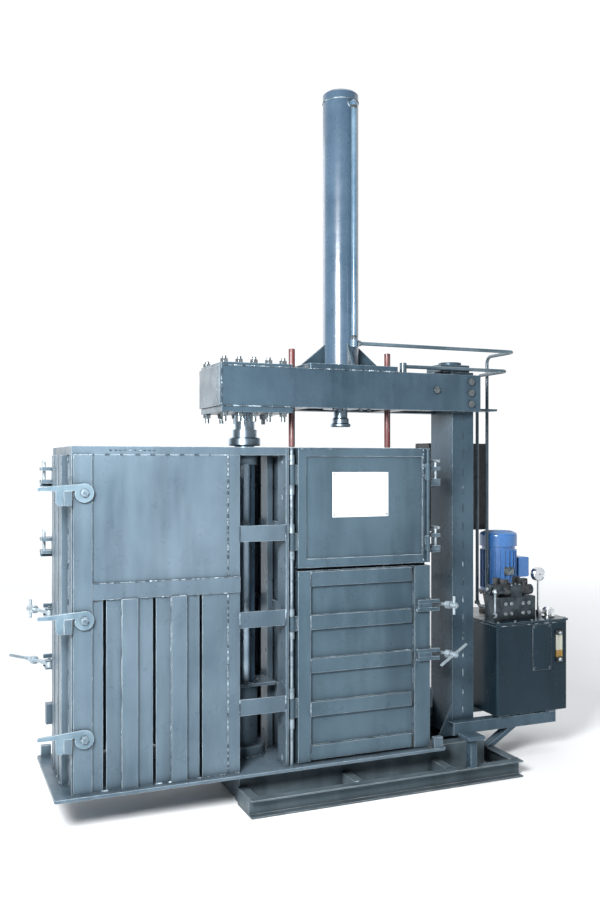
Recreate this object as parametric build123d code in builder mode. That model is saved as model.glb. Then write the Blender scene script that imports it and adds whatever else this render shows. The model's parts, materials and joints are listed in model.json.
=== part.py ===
"""Twin-box swivel baler: two welded boxes turn about a round column under one hydraulic press.

The origin is on the floor on the axis of the pivot column. +X runs to the press column,
+Z is up and the operator stands on the -Y side. The second box is the first one turned
half a turn about the pivot. Millimetres.
"""
from build123d import *
import os
from math import cos, radians, sin

os.makedirs("parts", exist_ok=True)

# Clearances
SLIDE = 0.05
AIR = 0.3

# Base girders and skid
GIRDER_HEIGHT = 125
GIRDER_FLANGE = 60
GIRDER_WALL = 8
GIRDER_FACE_Y = 173
BASE_X0 = -80
SKID_HEIGHT = 69
SKID_FLANGE = 38
SKID_WALL = 6
SKID_FACE_Y = 339
SKID_X0 = -88
THRUST_RING_RADIUS = 120
THRUST_RING_HEIGHT = 9.7

# Pivot column
COLUMN_RADIUS = 42
COLLAR_RADIUS = 66
COLLAR_HEIGHT = 33

# Turntable floor plate
FLOOR_THICKNESS = 12
FLOOR_HALF_Y = 273
FLOOR_Z = GIRDER_HEIGHT + THRUST_RING_HEIGHT + AIR
BOX_Z0 = FLOOR_Z + FLOOR_THICKNESS

# Boxes, given for the one under the press
BOX_HEIGHT = 1250
BOX_INNER_X = 101
BOX_LENGTH = 634
BOX_OUTER_X = BOX_INNER_X + BOX_LENGTH
FLOOR_HALF_X = BOX_OUTER_X + 63
SLAT_FACE_Y = 240
DOOR_FACE_Y = -240
DOOR_DEPTH = 38
POST_LEG = 48
POST_WALL = 6
RIM_HEIGHT = 31
RIM_WALL = 12
WALL = 6
SLOT = 12
BOX_Z1 = BOX_Z0 + BOX_HEIGHT
RIM_Z = BOX_Z1 - RIM_HEIGHT
FRONT_Y = DOOR_FACE_Y + DOOR_DEPTH + 2


def up_box(*shares):
    """Heights of fittings, given as shares of the box height, that keep their place on it."""
    return tuple(BOX_Z0 + share * BOX_HEIGHT for share in shares)


def along_box(*shares):
    """X of fittings, given as shares of the box length, that keep their place along it."""
    return tuple(BOX_INNER_X + share * BOX_LENGTH for share in shares)


# Slatted panel
STILE_WIDTH = 67
STILE_WALL = 8
(MID_RAIL_Z,) = up_box(0.5544)
MID_RAIL_HEIGHT = 60
MID_RAIL_MID_Z = MID_RAIL_Z + MID_RAIL_HEIGHT / 2
PANEL_SLOTS_X = along_box(0.2445, 0.5252, 0.8139)
RAISED_RIBS_X = along_box(0.3801, 0.6711)
RAISED_RIB_WIDTH = 59
RAISED_RIB_DEPTH = 12
STRAP_Z = up_box(0.1728, 0.4424, 0.708)
STRAP_HEIGHT = 62
STRAP_WALL = 8

# Doors and their hinge line
DOOR_X0 = 141
DOOR_X1 = BOX_OUTER_X + 2.6
DOOR_SKIN = 5
UPPER_DOOR_Z0, LOWER_DOOR_Z1 = up_box(0.6184, 0.6088)
LOWER_DOOR_Z0 = BOX_Z0 + 5
DOOR_FRAME = 35
LEFT_STILE = 55
RIGHT_STILE = 73
DOOR_BAR_HEIGHT = 57
DOOR_BARS = 5
DOOR_BAR_GAP = 15
HINGE_X = 118
HINGE_Y = -225
HINGE_ROD_RADIUS = 8
KNUCKLE_RADIUS = 12.5
HINGE_PLATE = 12
UPPER_KNUCKLES = (up_box(0.6464, 0.7568), up_box(0.8504, 0.976))
LOWER_KNUCKLES = (up_box(0.1136, 0.2392), up_box(0.396, 0.4896))

# Press column and base, beyond the swing of the boxes
PRESS_X0 = BOX_OUTER_X + 213
PRESS_X1 = PRESS_X0 + 109
PRESS_Y0 = -78
PRESS_Y1 = 106
PRESS_WALL = 8
BASE_X1 = PRESS_X1 - 7
SKID_X1 = PRESS_X1 + 79
SKID_TIES = (SKID_X0 + 448, SKID_X1 - 356)

# Crosshead
COLLAR_Z = BOX_Z1 + 9
HEAD_X0 = -143
HEAD_X1 = PRESS_X1 - 5
HEAD_HALF_Y = 143
HEAD_Z0 = BOX_Z1 + 165
HEAD_Z1 = HEAD_Z0 + 160
PRESS_TOP = HEAD_Z1 + 18
HEAD_FLANGE = 60
HEAD_WALL = 9
CLAMP_BOTTOM = 24
CLAMP_TOP = 12
CLAMP_BOLTS = 5
CLAMP_BOLT_Y = 118
BOLT_RADIUS = 9

# Cylinder and ram
RAM_X = (BOX_INNER_X + BOX_OUTER_X) / 2 + 18.7
TUBE_RADIUS = 77
TUBE_BORE = 62
TUBE_FOOT = HEAD_Z0 + 30
TUBE_LENGTH = 1288
TUBE_TOP = TUBE_FOOT + TUBE_LENGTH
CAP_HEIGHT = 40
MOUNT_HALF = 206
MOUNT_THICKNESS = 22
GUSSET_HEIGHT = 95
GLAND_Z = HEAD_Z0 + 4
SPIGOT_HEIGHT = 48
ROD_RADIUS = 30
ROD_END_RADIUS = 43
ROD_END_Z = HEAD_Z0 - 72
ROD_END_HEIGHT = 34
PISTON_HEIGHT = 60
GUIDE_ROD_RADIUS = 13.5
GUIDE_ROD_OFFSET = 226.5
CLAMP_TO_GUIDE_ROD = 52.2
CLAMP_X1 = RAM_X - GUIDE_ROD_OFFSET - CLAMP_TO_GUIDE_ROD
FIRST_BOLT_X = HEAD_X0 + 18
LAST_BOLT_X = CLAMP_X1 - 33
BOLT_PITCH = (LAST_BOLT_X - FIRST_BOLT_X) / (CLAMP_BOLTS - 1)
CLAMP_BOLT_X = [FIRST_BOLT_X + index * BOLT_PITCH for index in range(CLAMP_BOLTS)]
GUIDE_ROD_TOP = HEAD_Z1 + 94
GUIDE_ROD_FOOT = BOX_Z1 + 6


def plate(x0, x1, y0, y1, z0, z1):
    """Add a flat plate between two corners to the open part."""
    with Locations(((x0 + x1) / 2, (y0 + y1) / 2, (z0 + z1) / 2)):
        Box(x1 - x0, y1 - y0, z1 - z0)


def upright(x, y, z0, z1, radius, mode=Mode.ADD):
    """Add, or cut, a round bar that stands at x, y from z0 to z1."""
    with Locations((x, y, z0)):
        Cylinder(radius, z1 - z0, align=(Align.CENTER, Align.CENTER, Align.MIN), mode=mode)


def both_boxes(part):
    """Add a piece made for the box under the press, and its half-turned twin."""
    add(part)
    add(part.rotate(Axis.Z, 180))


def channel_outline(x, y, height, flange, wall, turn=0):
    """Draw a channel section: web on the local Y axis, flanges towards local +X."""
    with Locations(Location((x, y), turn)):
        Polygon(
            (0, 0),
            (flange, 0),
            (flange, wall),
            (wall, wall),
            (wall, height - wall),
            (flange, height - wall),
            (flange, height),
            (0, height),
            align=None,
        )


def weldment(*bars):
    """Bars and plates that meet face to face, each still a solid of its own."""
    return Compound([solid for bar in bars for solid in bar.solids()])


# Base girders: two channels toe to toe, a bed plate under the pivot and the thrust ring
with BuildPart() as girders:
    with BuildSketch(Plane.YZ.offset(BASE_X0)):
        channel_outline(-GIRDER_FACE_Y, 0, GIRDER_HEIGHT, GIRDER_FLANGE, GIRDER_WALL)
    extrude(amount=BASE_X1 - BASE_X0)
    mirror(about=Plane.XZ)

INNER_GIRDER_Y = GIRDER_FACE_Y - GIRDER_WALL
BED_WALL = 16
with BuildPart() as base_plates:
    for x0 in (BASE_X0, BASE_X1 - GIRDER_WALL):
        plate(x0, x0 + GIRDER_WALL, -INNER_GIRDER_Y, INNER_GIRDER_Y, GIRDER_WALL,
              GIRDER_HEIGHT - GIRDER_WALL)
    inner_flange_y = GIRDER_FACE_Y - GIRDER_FLANGE
    for z0, z1 in ((0, GIRDER_WALL), (GIRDER_HEIGHT - BED_WALL, GIRDER_HEIGHT)):
        plate(BASE_X0 + GIRDER_WALL, THRUST_RING_RADIUS, -inner_flange_y, inner_flange_y, z0, z1)

with BuildPart() as thrust_ring:
    upright(0, 0, GIRDER_HEIGHT, GIRDER_HEIGHT + THRUST_RING_HEIGHT, THRUST_RING_RADIUS)
    chamfer(thrust_ring.edges().group_by(Axis.Z)[-1], 2)
    upright(0, 0, GIRDER_HEIGHT, GIRDER_HEIGHT + THRUST_RING_HEIGHT, COLUMN_RADIUS, Mode.SUBTRACT)

base_girders = weldment(girders.part, base_plates.part, thrust_ring.part)
base_girders.label = "base_girders"
export_step(base_girders, "parts/base_girders.step")

# Skid: channel rails with their flanges outward, tied to the girders by cross pieces
RAIL_WEB_Y = SKID_FACE_Y - SKID_FLANGE
with BuildPart() as skid_rails:
    with BuildSketch(Plane.YZ.offset(SKID_X0)):
        channel_outline(-RAIL_WEB_Y, SKID_HEIGHT, SKID_HEIGHT, SKID_FLANGE, SKID_WALL, 180)
    extrude(amount=SKID_X1 - SKID_X0)
    mirror(about=Plane.XZ)

with BuildPart() as skid_ties:
    with BuildSketch(Plane.XZ.offset(GIRDER_FACE_Y)):
        for x in (SKID_X0, *SKID_TIES):
            channel_outline(x, 0, SKID_HEIGHT, SKID_FLANGE, SKID_WALL)
    extrude(amount=RAIL_WEB_Y - GIRDER_FACE_Y)
    mirror(about=Plane.XZ)

with BuildPart() as skid_end:
    with BuildSketch(Plane.XZ.offset(-RAIL_WEB_Y)):
        channel_outline(SKID_X1, SKID_HEIGHT, SKID_HEIGHT, SKID_FLANGE, SKID_WALL, 180)
    extrude(amount=2 * RAIL_WEB_Y)

skid_frame = weldment(skid_rails.part, skid_ties.part, skid_end.part)
skid_frame.label = "skid_frame"
export_step(skid_frame, "parts/skid_frame.step")

# Carriage stop: a tee-headed post on the front rail
STOP_X = PRESS_X0 - 58
STOP_TOP = 203
STOP_HEAD = (80, 80, 14)
STOP_STEM = (30, 36)
STOP_Y = -(RAIL_WEB_Y + SKID_FLANGE / 2)
with BuildPart() as carriage_stop:
    with Locations((STOP_X, STOP_Y, SKID_HEIGHT)):
        Box(*STOP_STEM, STOP_TOP - STOP_HEAD[2] - SKID_HEIGHT,
            align=(Align.CENTER, Align.CENTER, Align.MIN))
    with Locations((STOP_X, STOP_Y, STOP_TOP)):
        Box(*STOP_HEAD, align=(Align.CENTER, Align.CENTER, Align.MAX))
    fillet(carriage_stop.edges().group_by(Axis.Z)[-1], 3)
carriage_stop.part.label = "carriage_stop"
export_step(carriage_stop.part, "parts/carriage_stop.step")

# Pivot column with its shoulder collar
with BuildPart() as pivot_column:
    upright(0, 0, GIRDER_HEIGHT, HEAD_Z0 - CLAMP_BOTTOM, COLUMN_RADIUS)
    upright(0, 0, COLLAR_Z, COLLAR_Z + COLLAR_HEIGHT, COLLAR_RADIUS)
    collar_rim = pivot_column.edges().filter_by(GeomType.CIRCLE).filter_by(
        lambda edge: abs(edge.radius - COLLAR_RADIUS) < 1
    )
    chamfer(collar_rim, 4)
    shoulder = COLUMN_RADIUS + 9
    upright(0, 0, COLLAR_Z + COLLAR_HEIGHT, COLLAR_Z + 2 * COLLAR_HEIGHT, shoulder)
pivot_column.part.label = "pivot_column"
export_step(pivot_column.part, "parts/pivot_column.step")

# Press column: two channels toe to toe between the base and the crosshead, with a cap block
half_x = (PRESS_X1 - PRESS_X0) / 2
press_depth = PRESS_Y1 - PRESS_Y0
with BuildPart() as press_channels:
    with BuildSketch(Plane.XY.offset(GIRDER_HEIGHT)):
        channel_outline(PRESS_X0, PRESS_Y0, press_depth, half_x, PRESS_WALL)
        channel_outline(PRESS_X1, PRESS_Y1, press_depth, half_x, PRESS_WALL, 180)
    extrude(amount=PRESS_TOP - GIRDER_HEIGHT)

PRESS_CENTRE_X = (PRESS_X0 + PRESS_X1) / 2
CAP_BLOCK = (150, 120, 34)
CAP_DISC = (52, 14)
CAP_BLOCK_X = PRESS_CENTRE_X - 30
CAP_DISC_X = PRESS_CENTRE_X - 20
FOOT_REACH = 70
with BuildPart() as press_cap:
    with Locations((CAP_BLOCK_X, 0, PRESS_TOP)):
        Box(*CAP_BLOCK, align=(Align.CENTER, Align.CENTER, Align.MIN))
    upright(CAP_DISC_X, 0, PRESS_TOP + CAP_BLOCK[2], PRESS_TOP + CAP_BLOCK[2] + CAP_DISC[1],
            CAP_DISC[0])
    chamfer(press_cap.edges().group_by(Axis.Z)[-1], 3)

with BuildPart() as press_foot:
    for y in (PRESS_Y0 + PRESS_WALL, PRESS_Y1):
        with BuildSketch(Plane.XZ.offset(-y)):
            Polygon(
                (PRESS_X0, GIRDER_HEIGHT),
                (PRESS_X0 - FOOT_REACH, GIRDER_HEIGHT),
                (PRESS_X0, GIRDER_HEIGHT + 2 * FOOT_REACH),
                align=None,
            )
        extrude(amount=PRESS_WALL)
press_column = weldment(press_channels.part, press_cap.part, press_foot.part)
press_column.label = "press_column"
export_step(press_column, "parts/press_column.step")

# Crosshead: two channels with webs outward, end plates and the pipe bracket
HEAD_INNER_Y = HEAD_HALF_Y - HEAD_FLANGE
HOLE_GAP = 0.2
PIPE_BRACKET = (150, 90, 10)
END_PLATE = 8
END_GAP = 8
END_GAP_Y = -100
with BuildPart() as head_channels:
    with BuildSketch(Plane.YZ.offset(HEAD_X0)):
        channel_outline(-HEAD_HALF_Y, HEAD_Z0, HEAD_Z1 - HEAD_Z0, HEAD_FLANGE, HEAD_WALL)
    extrude(amount=HEAD_X1 - HEAD_X0)
    mirror(about=Plane.XZ)
    for x in CLAMP_BOLT_X:
        for y in (-CLAMP_BOLT_Y, CLAMP_BOLT_Y):
            upright(x, y, HEAD_Z0, HEAD_Z1, BOLT_RADIUS + HOLE_GAP, Mode.SUBTRACT)
    # The rear flanges are notched where the press column passes
    with Locations((PRESS_X0 - AIR, HEAD_INNER_Y, HEAD_Z0)):
        Box(PRESS_X1 - PRESS_X0 + AIR, PRESS_Y1 + AIR - HEAD_INNER_Y, HEAD_Z1 - HEAD_Z0,
            align=Align.MIN, mode=Mode.SUBTRACT)

with BuildPart() as head_plates:
    for y0, y1 in ((-HEAD_HALF_Y, END_GAP_Y - END_GAP), (END_GAP_Y, HEAD_HALF_Y)):
        plate(HEAD_X0 - END_PLATE, HEAD_X0, y0, y1, HEAD_Z0, HEAD_Z1)
    with Locations((PRESS_X1, 0, HEAD_Z0 + PIPE_BRACKET[2])):
        Box(*PIPE_BRACKET, align=(Align.MIN, Align.CENTER, Align.MIN))
crosshead_beams = weldment(head_channels.part, head_plates.part)
crosshead_beams.label = "crosshead_beams"
export_step(crosshead_beams, "parts/crosshead_beams.step")

# Clamp plates that grip the top of the pivot column between two rows of bolts
with BuildPart() as clamp_plates:
    for z0, z1 in ((HEAD_Z0 - CLAMP_BOTTOM, HEAD_Z0), (HEAD_Z1, HEAD_Z1 + CLAMP_TOP)):
        plate(HEAD_X0, CLAMP_X1, -HEAD_HALF_Y, HEAD_HALF_Y, z0, z1)
    for x in CLAMP_BOLT_X:
        for y in (-CLAMP_BOLT_Y, CLAMP_BOLT_Y):
            upright(x, y, HEAD_Z0 - CLAMP_BOTTOM, HEAD_Z1 + CLAMP_TOP, BOLT_RADIUS + HOLE_GAP,
                    Mode.SUBTRACT)
clamp_plates.part.label = "clamp_plates"
export_step(clamp_plates.part, "parts/clamp_plates.step")

# Bolts of the crosshead: clamp studs with nuts, column bolts through the front web
NUT_ACROSS = 28
NUT_HEIGHT = 15
STUD_END = 22
COLUMN_BOLTS = (
    (PRESS_X0 + 52, HEAD_Z0 + 130),
    (PRESS_X0 + 52, HEAD_Z0 + 82),
    (PRESS_X0 + 52, HEAD_Z0 + 32),
    (PRESS_X0 - 123, HEAD_Z0 + 89),
)
COLUMN_BOLT_HEAD = 11
with BuildPart() as crosshead_bolts:
    for x in CLAMP_BOLT_X:
        for y in (-CLAMP_BOLT_Y, CLAMP_BOLT_Y):
            upright(x, y, HEAD_Z0 - CLAMP_BOTTOM - NUT_HEIGHT - STUD_END,
                    HEAD_Z1 + CLAMP_TOP + NUT_HEIGHT + STUD_END / 2, BOLT_RADIUS)
            for z in (HEAD_Z0 - CLAMP_BOTTOM - NUT_HEIGHT, HEAD_Z1 + CLAMP_TOP):
                with BuildSketch(Plane.XY.offset(z)):
                    with Locations((x, y)):
                        RegularPolygon(NUT_ACROSS / 2, 6, major_radius=False)
                extrude(amount=NUT_HEIGHT)
    for x, z in COLUMN_BOLTS:
        with BuildSketch(Plane.XZ.offset(HEAD_HALF_Y)):
            with Locations((x, z)):
                RegularPolygon(NUT_ACROSS / 2, 6, major_radius=False)
        extrude(amount=COLUMN_BOLT_HEAD)
crosshead_bolts.part.label = "crosshead_bolts"
export_step(crosshead_bolts.part, "parts/crosshead_bolts.step")

# Cylinder mount: a plate across the beams with gussets round the tube
GUSSET_WALL = 12
GUSSET_BACK = 14
MOUNT_TOP = HEAD_Z1 + MOUNT_THICKNESS
with BuildPart() as mount_plate:
    with BuildSketch(Plane.XY.offset(HEAD_Z1)):
        with Locations((RAM_X, 0)):
            RectangleRounded(2 * MOUNT_HALF, 2 * HEAD_HALF_Y, 12)
            Circle(TUBE_RADIUS + HOLE_GAP, mode=Mode.SUBTRACT)
    extrude(amount=MOUNT_THICKNESS)
mount_gussets = []
for turn, reach in ((0, MOUNT_HALF), (180, MOUNT_HALF), (90, HEAD_HALF_Y), (270, HEAD_HALF_Y)):
    outward = Vector(1, 0, 0).rotate(Axis.Z, turn)
    flat = Plane((RAM_X, 0, MOUNT_TOP), x_dir=outward, z_dir=outward.cross(Vector(0, 0, 1)))
    with BuildPart() as gusset:
        with BuildSketch(flat):
            Polygon(
                (TUBE_RADIUS + AIR, 0),
                (reach - GUSSET_BACK, 0),
                (TUBE_RADIUS + AIR, GUSSET_HEIGHT),
                align=None,
            )
        extrude(amount=GUSSET_WALL / 2, both=True)
    mount_gussets.append(gusset.part)
cylinder_mount = weldment(mount_plate.part, *mount_gussets)
cylinder_mount.label = "cylinder_mount"
export_step(cylinder_mount, "parts/cylinder_mount.step")

# Cylinder: honed tube, cap with its port, gland
PORT_Z = TUBE_TOP - 20
RISER_RADIUS = 11.5
RISER_X = RAM_X + 16
RISER_Y = -100
with BuildPart() as cylinder_tube:
    upright(RAM_X, 0, TUBE_FOOT, TUBE_TOP, TUBE_RADIUS)
    upright(RAM_X, 0, TUBE_FOOT, TUBE_TOP, TUBE_BORE, Mode.SUBTRACT)
cylinder_tube.part.label = "cylinder_tube"
export_step(cylinder_tube.part, "parts/cylinder_tube.step")

with BuildPart() as cylinder_cap:
    upright(RAM_X, 0, TUBE_TOP, TUBE_TOP + CAP_HEIGHT, TUBE_RADIUS)
    chamfer(cylinder_cap.edges().group_by(Axis.Z)[-1], 8)
    upright(RAM_X, 0, TUBE_TOP - 12, TUBE_TOP, TUBE_BORE - HOLE_GAP)
cylinder_cap.part.label = "cylinder_cap"
export_step(cylinder_cap.part, "parts/cylinder_cap.step")

with BuildPart() as cylinder_gland:
    upright(RAM_X, 0, GLAND_Z, TUBE_FOOT, TUBE_RADIUS)
    chamfer(cylinder_gland.edges().group_by(Axis.Z)[0], 3)
    upright(RAM_X, 0, TUBE_FOOT, TUBE_FOOT + SPIGOT_HEIGHT, TUBE_BORE - HOLE_GAP)
    upright(RAM_X, 0, GLAND_Z, TUBE_FOOT + SPIGOT_HEIGHT, ROD_RADIUS + SLIDE, Mode.SUBTRACT)
cylinder_gland.part.label = "cylinder_gland"
export_step(cylinder_gland.part, "parts/cylinder_gland.step")

# Ram: turned rod with a flanged nose below and the piston above
PISTON_TOP = TUBE_TOP - 12 - 20
with BuildPart() as ram:
    with BuildSketch(Plane.XZ):
        with BuildLine():
            Polyline(
                (0, ROD_END_Z),
                (ROD_END_RADIUS - 3, ROD_END_Z),
                (ROD_END_RADIUS, ROD_END_Z + 3),
                (ROD_END_RADIUS, ROD_END_Z + 12),
                (ROD_END_RADIUS - 7, ROD_END_Z + 16),
                (ROD_END_RADIUS - 7, ROD_END_Z + ROD_END_HEIGHT),
                (ROD_RADIUS, ROD_END_Z + ROD_END_HEIGHT + 5),
                (ROD_RADIUS, PISTON_TOP - PISTON_HEIGHT),
                (TUBE_BORE - SLIDE, PISTON_TOP - PISTON_HEIGHT),
                (TUBE_BORE - SLIDE, PISTON_TOP),
                (0, PISTON_TOP),
                close=True,
            )
        make_face()
    revolve(axis=Axis.Z)
ram_part = ram.part.translate((RAM_X, 0, 0))
ram_part.label = "ram"
export_step(ram_part, "parts/ram.step")

# Guide rods through bushes between the beams
BUSH_RADIUS = 24
BUSH_PLATE = 10
BUSH_PLATE_HALF = 40
GUIDE_X = (RAM_X - GUIDE_ROD_OFFSET, RAM_X + GUIDE_ROD_OFFSET)
with BuildPart() as bush_plates:
    for x in GUIDE_X:
        plate(x - BUSH_PLATE_HALF, x + BUSH_PLATE_HALF, -HEAD_INNER_Y, HEAD_INNER_Y, HEAD_Z0,
              HEAD_Z0 + BUSH_PLATE)
        upright(x, 0, HEAD_Z0, HEAD_Z0 + BUSH_PLATE, GUIDE_ROD_RADIUS + SLIDE, Mode.SUBTRACT)
with BuildPart() as bush_tubes:
    for x in GUIDE_X:
        upright(x, 0, HEAD_Z0 + BUSH_PLATE, HEAD_Z1, BUSH_RADIUS)
        upright(x, 0, HEAD_Z0 + BUSH_PLATE, HEAD_Z1, GUIDE_ROD_RADIUS + SLIDE, Mode.SUBTRACT)
guide_bushes = weldment(bush_plates.part, bush_tubes.part)
guide_bushes.label = "guide_bushes"
export_step(guide_bushes, "parts/guide_bushes.step")

for side, x in zip(("left", "right"), GUIDE_X):
    with BuildPart() as guide_rod:
        upright(x, 0, GUIDE_ROD_FOOT, GUIDE_ROD_TOP, GUIDE_ROD_RADIUS)
        chamfer(guide_rod.edges().group_by(Axis.Z)[0], 2)
        chamfer(guide_rod.edges().group_by(Axis.Z)[-1], 2)
    guide_rod.part.label = f"guide_rod_{side}"
    export_step(guide_rod.part, f"parts/guide_rod_{side}.step")

# Hydraulic pipes: bent tube between the cylinder ports and the valve block
PIPE_RADIUS = 8
PIPE_BEND = 32
CAP_PIPE_Z = HEAD_Z1 + 118
CAP_PIPE_DROP = (PRESS_X1 + 205, 118, 700)
ROD_PIPE_Z = HEAD_Z1 + 30
ROD_PIPE_START = (RAM_X + 253.3, -95)
ROD_PIPE_DROP = (PRESS_X1 + 171, 150, 655)
BLOCK_BACK_Y = 60
UNION_RADIUS = 15


def bent_pipe(points, radius, bend):
    """Sweep a round tube along straight runs joined by bends."""
    with BuildLine() as route:
        FilletPolyline(*points, radius=bend)
    with BuildSketch(Plane(origin=route.line @ 0, z_dir=route.line % 0)) as bore:
        Circle(radius)
    sweep(bore.sketch, path=route.line)


with BuildPart() as riser_pipe:
    bent_pipe(
        (
            (RISER_X, -TUBE_RADIUS - AIR, PORT_Z),
            (RISER_X, RISER_Y, PORT_Z),
            (RISER_X, RISER_Y, CAP_PIPE_Z + UNION_RADIUS),
        ),
        RISER_RADIUS,
        RISER_RADIUS + 1,
    )
    upright(RISER_X, RISER_Y, CAP_PIPE_Z - UNION_RADIUS, CAP_PIPE_Z + UNION_RADIUS, UNION_RADIUS)
riser_pipe.part.label = "riser_pipe"
export_step(riser_pipe.part, "parts/riser_pipe.step")

with BuildPart() as cap_side_pipe:
    drop_x, drop_y, drop_z = CAP_PIPE_DROP
    bent_pipe(
        (
            (RISER_X + UNION_RADIUS, RISER_Y, CAP_PIPE_Z),
            (drop_x, RISER_Y, CAP_PIPE_Z),
            (drop_x, drop_y, CAP_PIPE_Z),
            (drop_x, drop_y, drop_z),
            (drop_x, BLOCK_BACK_Y, drop_z),
        ),
        PIPE_RADIUS,
        PIPE_BEND,
    )
cap_side_pipe.part.label = "cap_side_pipe"
export_step(cap_side_pipe.part, "parts/cap_side_pipe.step")

with BuildPart() as rod_side_pipe:
    drop_x, drop_y, drop_z = ROD_PIPE_DROP
    start_x, start_y = ROD_PIPE_START
    bent_pipe(
        (
            (start_x, start_y, ROD_PIPE_Z),
            (drop_x, start_y, ROD_PIPE_Z),
            (drop_x, drop_y, ROD_PIPE_Z),
            (drop_x, drop_y, drop_z),
            (drop_x, BLOCK_BACK_Y, drop_z),
        ),
        PIPE_RADIUS,
        PIPE_BEND,
    )
    upright(start_x, start_y, HEAD_Z1, ROD_PIPE_Z + UNION_RADIUS, UNION_RADIUS)
rod_side_pipe.part.label = "rod_side_pipe"
export_step(rod_side_pipe.part, "parts/rod_side_pipe.step")

# Shelf for the power pack: two angles off the press column, cross flats and a brace
SHELF_X0 = PRESS_X0 - 23
SHELF_LEG = 50
SHELF_WALL = 6
TANK_X0 = PRESS_X1 + 89
TANK_X1 = TANK_X0 + 389
SHELF_X1 = TANK_X1 - 65
TANK_Y0 = -131
TANK_Y1 = 300
TANK_Z0 = 200
TANK_Z1 = 617
TANK_CORNER = 14
SHELF_TOP = TANK_Z0 - SHELF_WALL
FLAT_X0 = TANK_X0 + 20
FLAT_Y1 = TANK_Y1 - 8
BRACE_TOP_X = TANK_X0 + 146
with BuildPart() as shelf_angles:
    with BuildSketch(Plane.YZ.offset(SHELF_X0)):
        for inner_y, out in ((PRESS_Y0, -1), (PRESS_Y1, 1)):
            corner_y = inner_y + out * SHELF_LEG
            Polygon(
                (inner_y, SHELF_TOP),
                (corner_y, SHELF_TOP),
                (corner_y, SHELF_TOP - SHELF_LEG),
                (corner_y - out * SHELF_WALL, SHELF_TOP - SHELF_LEG),
                (corner_y - out * SHELF_WALL, SHELF_TOP - SHELF_WALL),
                (inner_y, SHELF_TOP - SHELF_WALL),
                align=None,
            )
    extrude(amount=SHELF_X1 - SHELF_X0)

with BuildPart() as shelf_flats:
    for x in (FLAT_X0, SHELF_X1 - SHELF_LEG):
        plate(x, x + SHELF_LEG, PRESS_Y0 - SHELF_LEG, FLAT_Y1, SHELF_TOP, TANK_Z0)

with BuildPart() as shelf_brace:
    brace_foot = SKID_X1 - SKID_FLANGE
    with BuildSketch(Plane.XZ.offset(-PRESS_Y0)):
        Polygon(
            (brace_foot, SKID_HEIGHT),
            (SKID_X1, SKID_HEIGHT),
            (BRACE_TOP_X + SKID_FLANGE, SHELF_TOP - SHELF_WALL),
            (BRACE_TOP_X, SHELF_TOP - SHELF_WALL),
            align=None,
        )
    extrude(amount=SHELF_LEG - SHELF_WALL)
tank_shelf = weldment(shelf_angles.part, shelf_flats.part, shelf_brace.part)
tank_shelf.label = "tank_shelf"
export_step(tank_shelf, "parts/tank_shelf.step")

# Oil tank: a folded open box under a flanged lid
LID_HEIGHT = 8
LID_LIP = 6
TANK_WALL = 4
with BuildPart() as tank_tray:
    with Locations((TANK_X0, TANK_Y0, TANK_Z0)):
        Box(TANK_X1 - TANK_X0, TANK_Y1 - TANK_Y0, TANK_Z1 - LID_HEIGHT - TANK_Z0, align=Align.MIN)
    fillet(tank_tray.edges().filter_by(Axis.Z), TANK_CORNER)
    offset(amount=-TANK_WALL, openings=tank_tray.faces().sort_by(Axis.Z)[-1])
with BuildPart() as tank_lid:
    with BuildSketch(Plane.XY.offset(TANK_Z1 - LID_HEIGHT)):
        with Locations(((TANK_X0 + TANK_X1) / 2, (TANK_Y0 + TANK_Y1) / 2)):
            RectangleRounded(TANK_X1 - TANK_X0 + 2 * LID_LIP, TANK_Y1 - TANK_Y0 + 2 * LID_LIP,
                             TANK_CORNER)
    extrude(amount=LID_HEIGHT)
oil_tank = weldment(tank_tray.part, tank_lid.part)
oil_tank.label = "oil_tank"
export_step(oil_tank, "parts/oil_tank.step")

COVER = (102, 208, 4)
COVER_CENTRE = (TANK_X1 - 145, 494)
COVER_CORNER = 6
COVER_SCREW_IN = 9
COVER_SCREW_RADIUS = 7
COVER_SCREW_HEIGHT = 5
with BuildPart() as tank_cover_plate:
    with BuildSketch(Plane.XZ.offset(-TANK_Y0)):
        with Locations(COVER_CENTRE):
            RectangleRounded(COVER[0], COVER[1], COVER_CORNER)
    extrude(amount=COVER[2])
    with BuildSketch(Plane.XZ.offset(-TANK_Y0 + COVER[2])):
        with Locations(COVER_CENTRE):
            with GridLocations(COVER[0] - 2 * COVER_SCREW_IN, COVER[1] - 2 * COVER_SCREW_IN, 2, 2):
                RegularPolygon(COVER_SCREW_RADIUS, 6)
    extrude(amount=COVER_SCREW_HEIGHT)
tank_cover_plate.part.label = "tank_cover_plate"
export_step(tank_cover_plate.part, "parts/tank_cover_plate.step")

GAUGE_SLOT_X = TANK_X1 - 51
LEVEL_GAUGE = (30, 142, 9)
SIGHT_SLOT = (104, 14, 4)
with BuildPart() as level_gauge:
    with BuildSketch(Plane.XZ.offset(-TANK_Y0)):
        with Locations((GAUGE_SLOT_X, COVER_CENTRE[1])):
            RectangleRounded(LEVEL_GAUGE[0], LEVEL_GAUGE[1], COVER_CORNER)
    extrude(amount=LEVEL_GAUGE[2])
    with BuildSketch(Plane.XZ.offset(-TANK_Y0 + LEVEL_GAUGE[2])):
        with Locations((GAUGE_SLOT_X, COVER_CENTRE[1])):
            SlotOverall(SIGHT_SLOT[0], SIGHT_SLOT[1], rotation=90)
    extrude(amount=-SIGHT_SLOT[2], mode=Mode.SUBTRACT)
level_gauge.part.label = "level_gauge"
export_step(level_gauge.part, "parts/level_gauge.step")

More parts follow.
